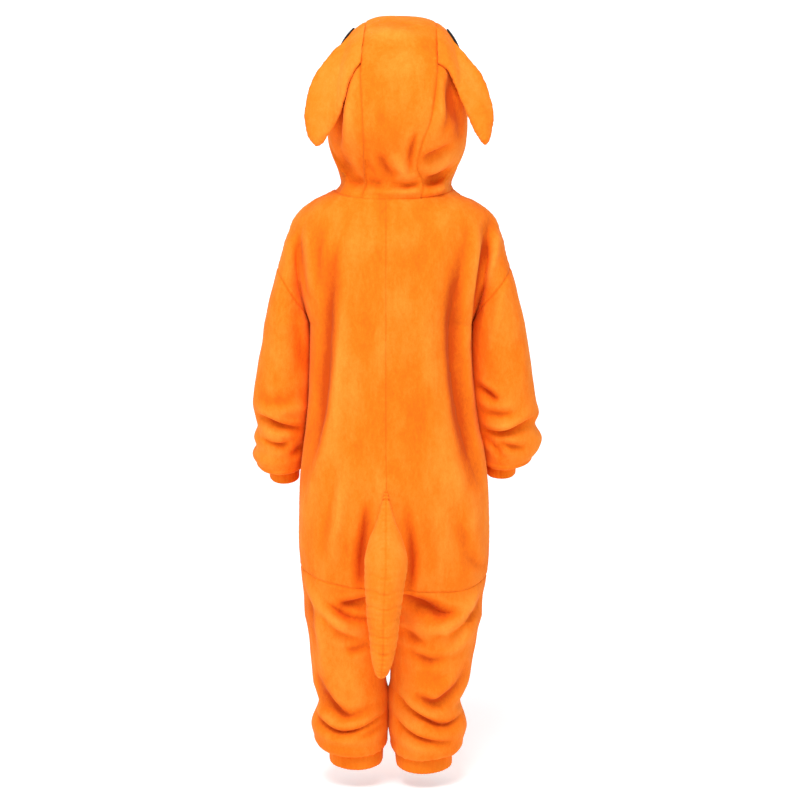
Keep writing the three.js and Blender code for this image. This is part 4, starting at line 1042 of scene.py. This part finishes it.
def ear_grid(side):
    """Rows down the ear; columns run round it, over the back half and return over the front half.
    Each half is crowned across by a flattened parabola."""
    place = np.linspace(0, len(EARS[side]) - 1, EAR_DOWN + 1)
    row = smooth_rows(EARS[side], place)[:, None]
    turn = np.linspace(0, 2 * math.pi, EAR_ROUND + 1)[None]
    s = (1 - np.cos(turn)) / 2
    away = np.where(turn < math.pi, -1, 1)
    crown = row[..., 6] * np.maximum(1 - (2 * s - 1) ** 2, 0) ** EAR_CROWN
    x, z = blend(row[..., 0], row[..., 3], s), blend(row[..., 1], row[..., 4], s)
    clearance = blend(*EAR_CLEARANCE, np.clip(place, 0, 1))[:, None]
    clear_of_hood = hood_back(x, z) - crown - EAR_SEAM - EAR_GAP - clearance
    y = np.minimum(blend(row[..., 2], row[..., 5], s), clear_of_hood)
    y = y + away * (EAR_SEAM * np.abs(np.sin(turn)) + crown)
    grid = np.stack([x, y, z], -1)
    grid[:, -1] = grid[:, 0]
    return grid


def capped(grid, start, end):
    """A grid whose first and last rings run in to a point, so that it is closed."""
    return np.concatenate([start + 0 * grid[:1], grid, end + 0 * grid[:1]])


for side in SIDES:
    grid = ear_grid(side)
    points, quads = welded([handed(side, capped(grid, grid[0].mean(0), grid[-1].mean(0)))])
    rim = np.concatenate([grid[:, 0], grid[::-1, EAR_ROUND // 2]])
    softness = 0.7 * undulation(points, 30, 5) + 0.3 * undulation(points, 12, 6)
    halves = [f"ear_{NAMES[side]}_back", f"ear_{NAMES[side]}_front"]
    pad(f"ear_{NAMES[side]}_pad", points, quads, halves, [(rim, 0.9, 0.5)], softness)

# Tail: two long fleece halves joined along the middle of the back, firmly stuffed, and set into
# the centre back seam above the seat. It tapers to a blunt tip and is wrinkled across.
WRINKLE_WIDTH = 3.0
TAIL_DOWN = 170
TAIL_ROUND = 88
TAIL_POINT = 1.5

# Height, middle, half width, back and front
TAIL = np.array([
    (-440, -12, 2, -118, -113), (-460, -12, 7, -122, -113), (-478, -12, 12.5, -130, -112),
    (-494, -12, 19, -140, -112), (-508, -12, 25, -151, -111), (-522, -12, 29.5, -161, -110),
    (-537, -12, 32.5, -169, -110), (-552, -12, 32.5, -173, -109), (-575, -14, 31, -175, -109),
    (-600, -15, 28.3, -173, -112), (-629, -16, 25.2, -170, -115), (-660, -16, 22, -166, -119),
    (-688, -17, 17.5, -161, -124), (-704, -18, 13.5, -157, -128), (-714, -18.5, 9.5, -153, -132),
    (-719, -19, 5, -149, -137)], float)

# Height and depth of each wrinkle across the back of the tail
TAIL_WRINKLES = [
    (-548, 0.4), (-561, 0.8), (-574, 0.5), (-585, 1.2), (-597, 0.7), (-608, 1.3), (-621, 0.8),
    (-632, 1.2), (-644, 0.6), (-655, 1.1), (-667, 0.7), (-680, 0.9), (-692, 0.4)]

row = table_at(TAIL, blend(TAIL[0, 0], TAIL[-1, 0], eased(TAIL_DOWN, 0.3)))[:, None]
turn = np.linspace(0, 2 * math.pi, TAIL_ROUND + 1)[None]
x = row[..., 1] - row[..., 2] * np.sin(turn)
y = (row[..., 3] + row[..., 4]) / 2 - (row[..., 4] - row[..., 3]) / 2 * np.cos(turn)
grid = np.stack(np.broadcast_arrays(x, y, row[..., 0]), -1).copy()
grid[:, -1] = grid[:, 0]
root, tip = (np.array([end[1], (end[3] + end[4]) / 2, end[0] + point])
             for end, point in ((TAIL[0], TAIL_POINT), (TAIL[-1], -TAIL_POINT)))
points, quads = welded([capped(grid, root, tip)])
# The wrinkles swing up and down across the tail, each a little off its height
wave = 2.4 * np.sin(points[:, 0] * 0.16 + 0.6)
wrinkles = sum(-deep * np.exp(-(((points[:, 2] - z - wave - 2 * i % 5) / WRINKLE_WIDTH) ** 2))
               for i, (z, deep) in enumerate(TAIL_WRINKLES))
wrinkles = wrinkles * smooth_step(-points[:, 1], 125, 150) + 0.5 * undulation(points, 34, 8)
tail_lines = [(grid[:, 0], 1.0, 0.6), (grid[:, TAIL_ROUND // 2], 1.1, 0.5)]
pad("tail_pad", points, quads, ["tail_left", "tail_right"], tail_lines, wrinkles)

# Eyes: two large ovals of black felt, sewn flat on the side panels in front of the ears. Only
# their rims show from behind.
EYE_FACES = 24

# Middle and half length along the hood's profile, left and right, and in millimetres the middle and
# half width across, the thickness and the lift off the hood
EYE = {"along": (9.65, 8.95), "along_half": (0.66, 0.52), "across": (77, 88), "across_half": 13.0,
       "thick": 2.2, "lift": 0.5}


def felt(name, colour):
    """Pressed felt: nearly black, with a faint grey fuzz and a fine uneven bump."""
    material, shade, shader = material_tree(name)
    fuzz = noise(shade, 700, 3.0)
    tone = fuzz * 0.7 + noise(shade, 60, 2.0) * 0.3
    dark, pale = [c * 0.6 for c in colour], [c * 1.7 for c in colour]
    bump = {"Strength": 0.5, "Distance": 0.0006, "Height": fuzz}
    fill(shade.tree, shader, {"Base Color": ramp(tone, (0.25, dark), (0.8, pale)), "Roughness": 0.85,
                              "Normal": shade.node("ShaderNodeBump", None, bump)})
    return material


def eye_grid(side):
    """Point of an eye on the hood: a square of u and v drawn out to a disc, in each direction by the
    root of one less half the other's square, its length evened out by the hood's share at x."""
    steps = np.linspace(-1, 1, EYE_FACES + 1)
    v, u = np.meshgrid(steps, steps, indexing="ij")
    out = EYE["across"][side > 0] + EYE["across_half"] * u * np.sqrt(1 - v * v / 2)
    power = HOOD_POWERS[side > 0]
    shrunk = (1 - (out / HOOD_HALF_WIDTH) ** power) ** (1 / power)
    half = EYE["along_half"][side > 0] / shrunk
    place = EYE["along"][side > 0] + half * v * np.sqrt(1 - u * u / 2)
    return hood(place, HOOD_CENTRE[0] + side * out)


BLACK_FELT = felt("black_felt", (0.003, 0.003, 0.0035))
for side in SIDES:
    points, quads = welded([handed(-side, eye_grid(side))])
    normals = outward(points, quads)
    under = relief(points, normals, HOOD_FOLDS, HOOD_LINES[side])[0]
    points = under + normals * (EYE["lift"] + EYE["thick"])
    patch = mesh_of(f"eye_{NAMES[side]}_patch", points, quads, {}, BLACK_FELT)
    walled(patch, f"eye_{NAMES[side]}", EYE["thick"])

# Front strip: a doubled band of fleece laid over the centre front seam from below the neck, sewn
# down both long edges; it hides the opening and carries the buttons.
STRIP_DOWN = 180
STRIP_ACROSS = 20
STRIP = {"half": 14.0, "top": -34.0, "bottom": -520.0, "thick": 2.4, "gap": 0.65}
STRIP_SEAM = {"pace": 0.9, "sway": 0, "slow": 0, "second": 0, "second_pace": 0, "start": 0,
              "off": 0, "reach": 4, "groove": 1.3, "mark": 1.0}

# Groove and pucker of the lines of stitches, by their column from the edge
STRIP_STITCHES = {0: (0.5, 0.0), 3: (0.5, 0.12)}


def front_at(x, z):
    """Point of the fronts at x and z, near the middle, by halving the way round from the centre."""
    side = np.where(x < trunk_at(1, z)[0], -1, 1)

    def at(back):
        """The point that far back from the centre front on its own side."""
        left, right = (np.where((z >= ARMPIT_Z)[..., None], upper(hand, 3 - back, z),
                                lower(hand, math.pi * (1 - back / 2), z)) for hand in SIDES)
        return np.where((side < 0)[..., None], left, right)

    low, high = np.zeros_like(x), np.full_like(x, 0.5)
    for _ in range(HALVINGS):
        middle = (low + high) / 2
        short = side * (at(middle)[..., 0] - x) < 0
        low, high = np.where(short, middle, low), np.where(short, high, middle)
    return at(low)


height = np.linspace(STRIP["top"], STRIP["bottom"], STRIP_DOWN + 1)
z, off = np.meshgrid(height, STRIP["half"] * (2 * eased(STRIP_ACROSS) - 1), indexing="ij")
grid = front_at(trunk_at(1, z)[0] + off, z)
points, quads = welded([grid])
normals = outward(points, quads)
rise = relief(points, normals, (), ())[1]["rise"]
seam = np.zeros(len(points))
for column, (groove, pucker) in STRIP_STITCHES.items():
    for line in (grid[:, column], grid[:, -1 - column]):
        sunk, mark, _ = sewn(points, line, groove, pucker, STRIP_SEAM)
        rise = rise + sunk
        seam = np.maximum(seam, mark)
lift = rise + STRIP["gap"] + STRIP["thick"]
values = {"rise": rise, "seam": seam, "crease": 0 * seam}
strip = mesh_of("front_strip_cloth", points + normals * lift[:, None], quads, values, ORANGE_FLEECE)
walled(strip, "front_strip", STRIP["thick"])

# Buttons: five round buttons of moulded orange plastic, sewn in a row down the strip. They keep
# their solids and get only their material here.
BUTTON_COUNT = 5


def plastic(name, colour):
    """Moulded plastic: one orange with faint streaks and light wear, glossier than the cloth."""
    material, shade, shader = material_tree(name)
    streaks = noise(shade, 120, 3.0, (1, 1, 0.3))
    low, high = [c * 0.85 for c in colour], [min(1.0, c * 1.12) for c in colour]
    fill(shade.tree, shader, {"Base Color": ramp(streaks, (0.3, low), (0.7, high)),
                              "Roughness": 0.3 + streaks * 0.15})
    return material


BUTTON_PLASTIC = plastic("button_plastic", (0.80, 0.17, 0.012))
for number in range(1, BUTTON_COUNT + 1):
    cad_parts[f"button_{number}"].material_slots[0].material = BUTTON_PLASTIC

# Ground and light: a pale seamless sweep under and behind the garment, a large soft light above
# and behind the camera, a lower one at each side, and an even white surround.
GROUND_Z = -0.920
GROUND_NEAR = -9.0
SWEEP_HALF_WIDTH = 7.0
SWEEP_DEPTH = 2.2
SWEEP_RADIUS = 1.2
SWEEP_TOP = 6.0
WHITE = (0.86, 0.86, 0.87)

bend = np.linspace(0, math.pi / 2, 24)
sweep = np.concatenate([
    [(GROUND_NEAR, GROUND_Z), (-1.0, GROUND_Z)],
    np.stack([SWEEP_DEPTH + SWEEP_RADIUS * np.sin(bend), GROUND_Z + SWEEP_RADIUS * (1 - np.cos(bend))], -1),
    [(SWEEP_DEPTH + SWEEP_RADIUS, SWEEP_TOP)]])
across = np.linspace(-SWEEP_HALF_WIDTH, SWEEP_HALF_WIDTH, 15)
grid = np.stack(np.broadcast_arrays(across[None], sweep[:, :1], sweep[:, 1:]), -1)
points, quads = welded([grid * 1000])
paper, shade, shader = material_tree("pale_paper")
grain = noise(shade, 40, 2.0)
fill(shade.tree, shader, {
    "Base Color": ramp(grain, (0.0, [c - 0.01 for c in WHITE]), (1.0, WHITE)), "Roughness": 0.95,
    "Emission Color": (1, 1, 1, 1), "Emission Strength": 0.42})
mesh_object("backdrop", points, quads, paper)


def soft_light(name, place, target, size, power):
    """A square area light of a given size and power that faces its target."""
    light = bpy.data.lights.new(name, "AREA")
    light.shape = "SQUARE"
    light.size = size
    light.energy = power
    lamp = bpy.data.objects.new(name, light)
    lamp.location = place
    lamp.rotation_euler = (Vector(target) - Vector(place)).to_track_quat("-Z", "Y").to_euler()
    bpy.context.scene.collection.objects.link(lamp)


soft_light("top_light", (-0.4, -2.2, 2.9), (0, 0, -0.2), 1.8, 138)
soft_light("left_light", (-3.0, -1.6, 0.8), (0, 0, -0.2), 1.4, 12)
soft_light("right_light", (3.0, -1.6, 0.8), (0, 0, -0.2), 1.4, 11)
world = bpy.data.worlds.new("surround")
world.use_nodes = True
fill(world.node_tree, world.node_tree.nodes["Background"], {"Color": (1, 1, 1, 1), "Strength": 0.32})
bpy.context.scene.world = world
bpy.context.scene.view_settings.view_transform = "Standard"
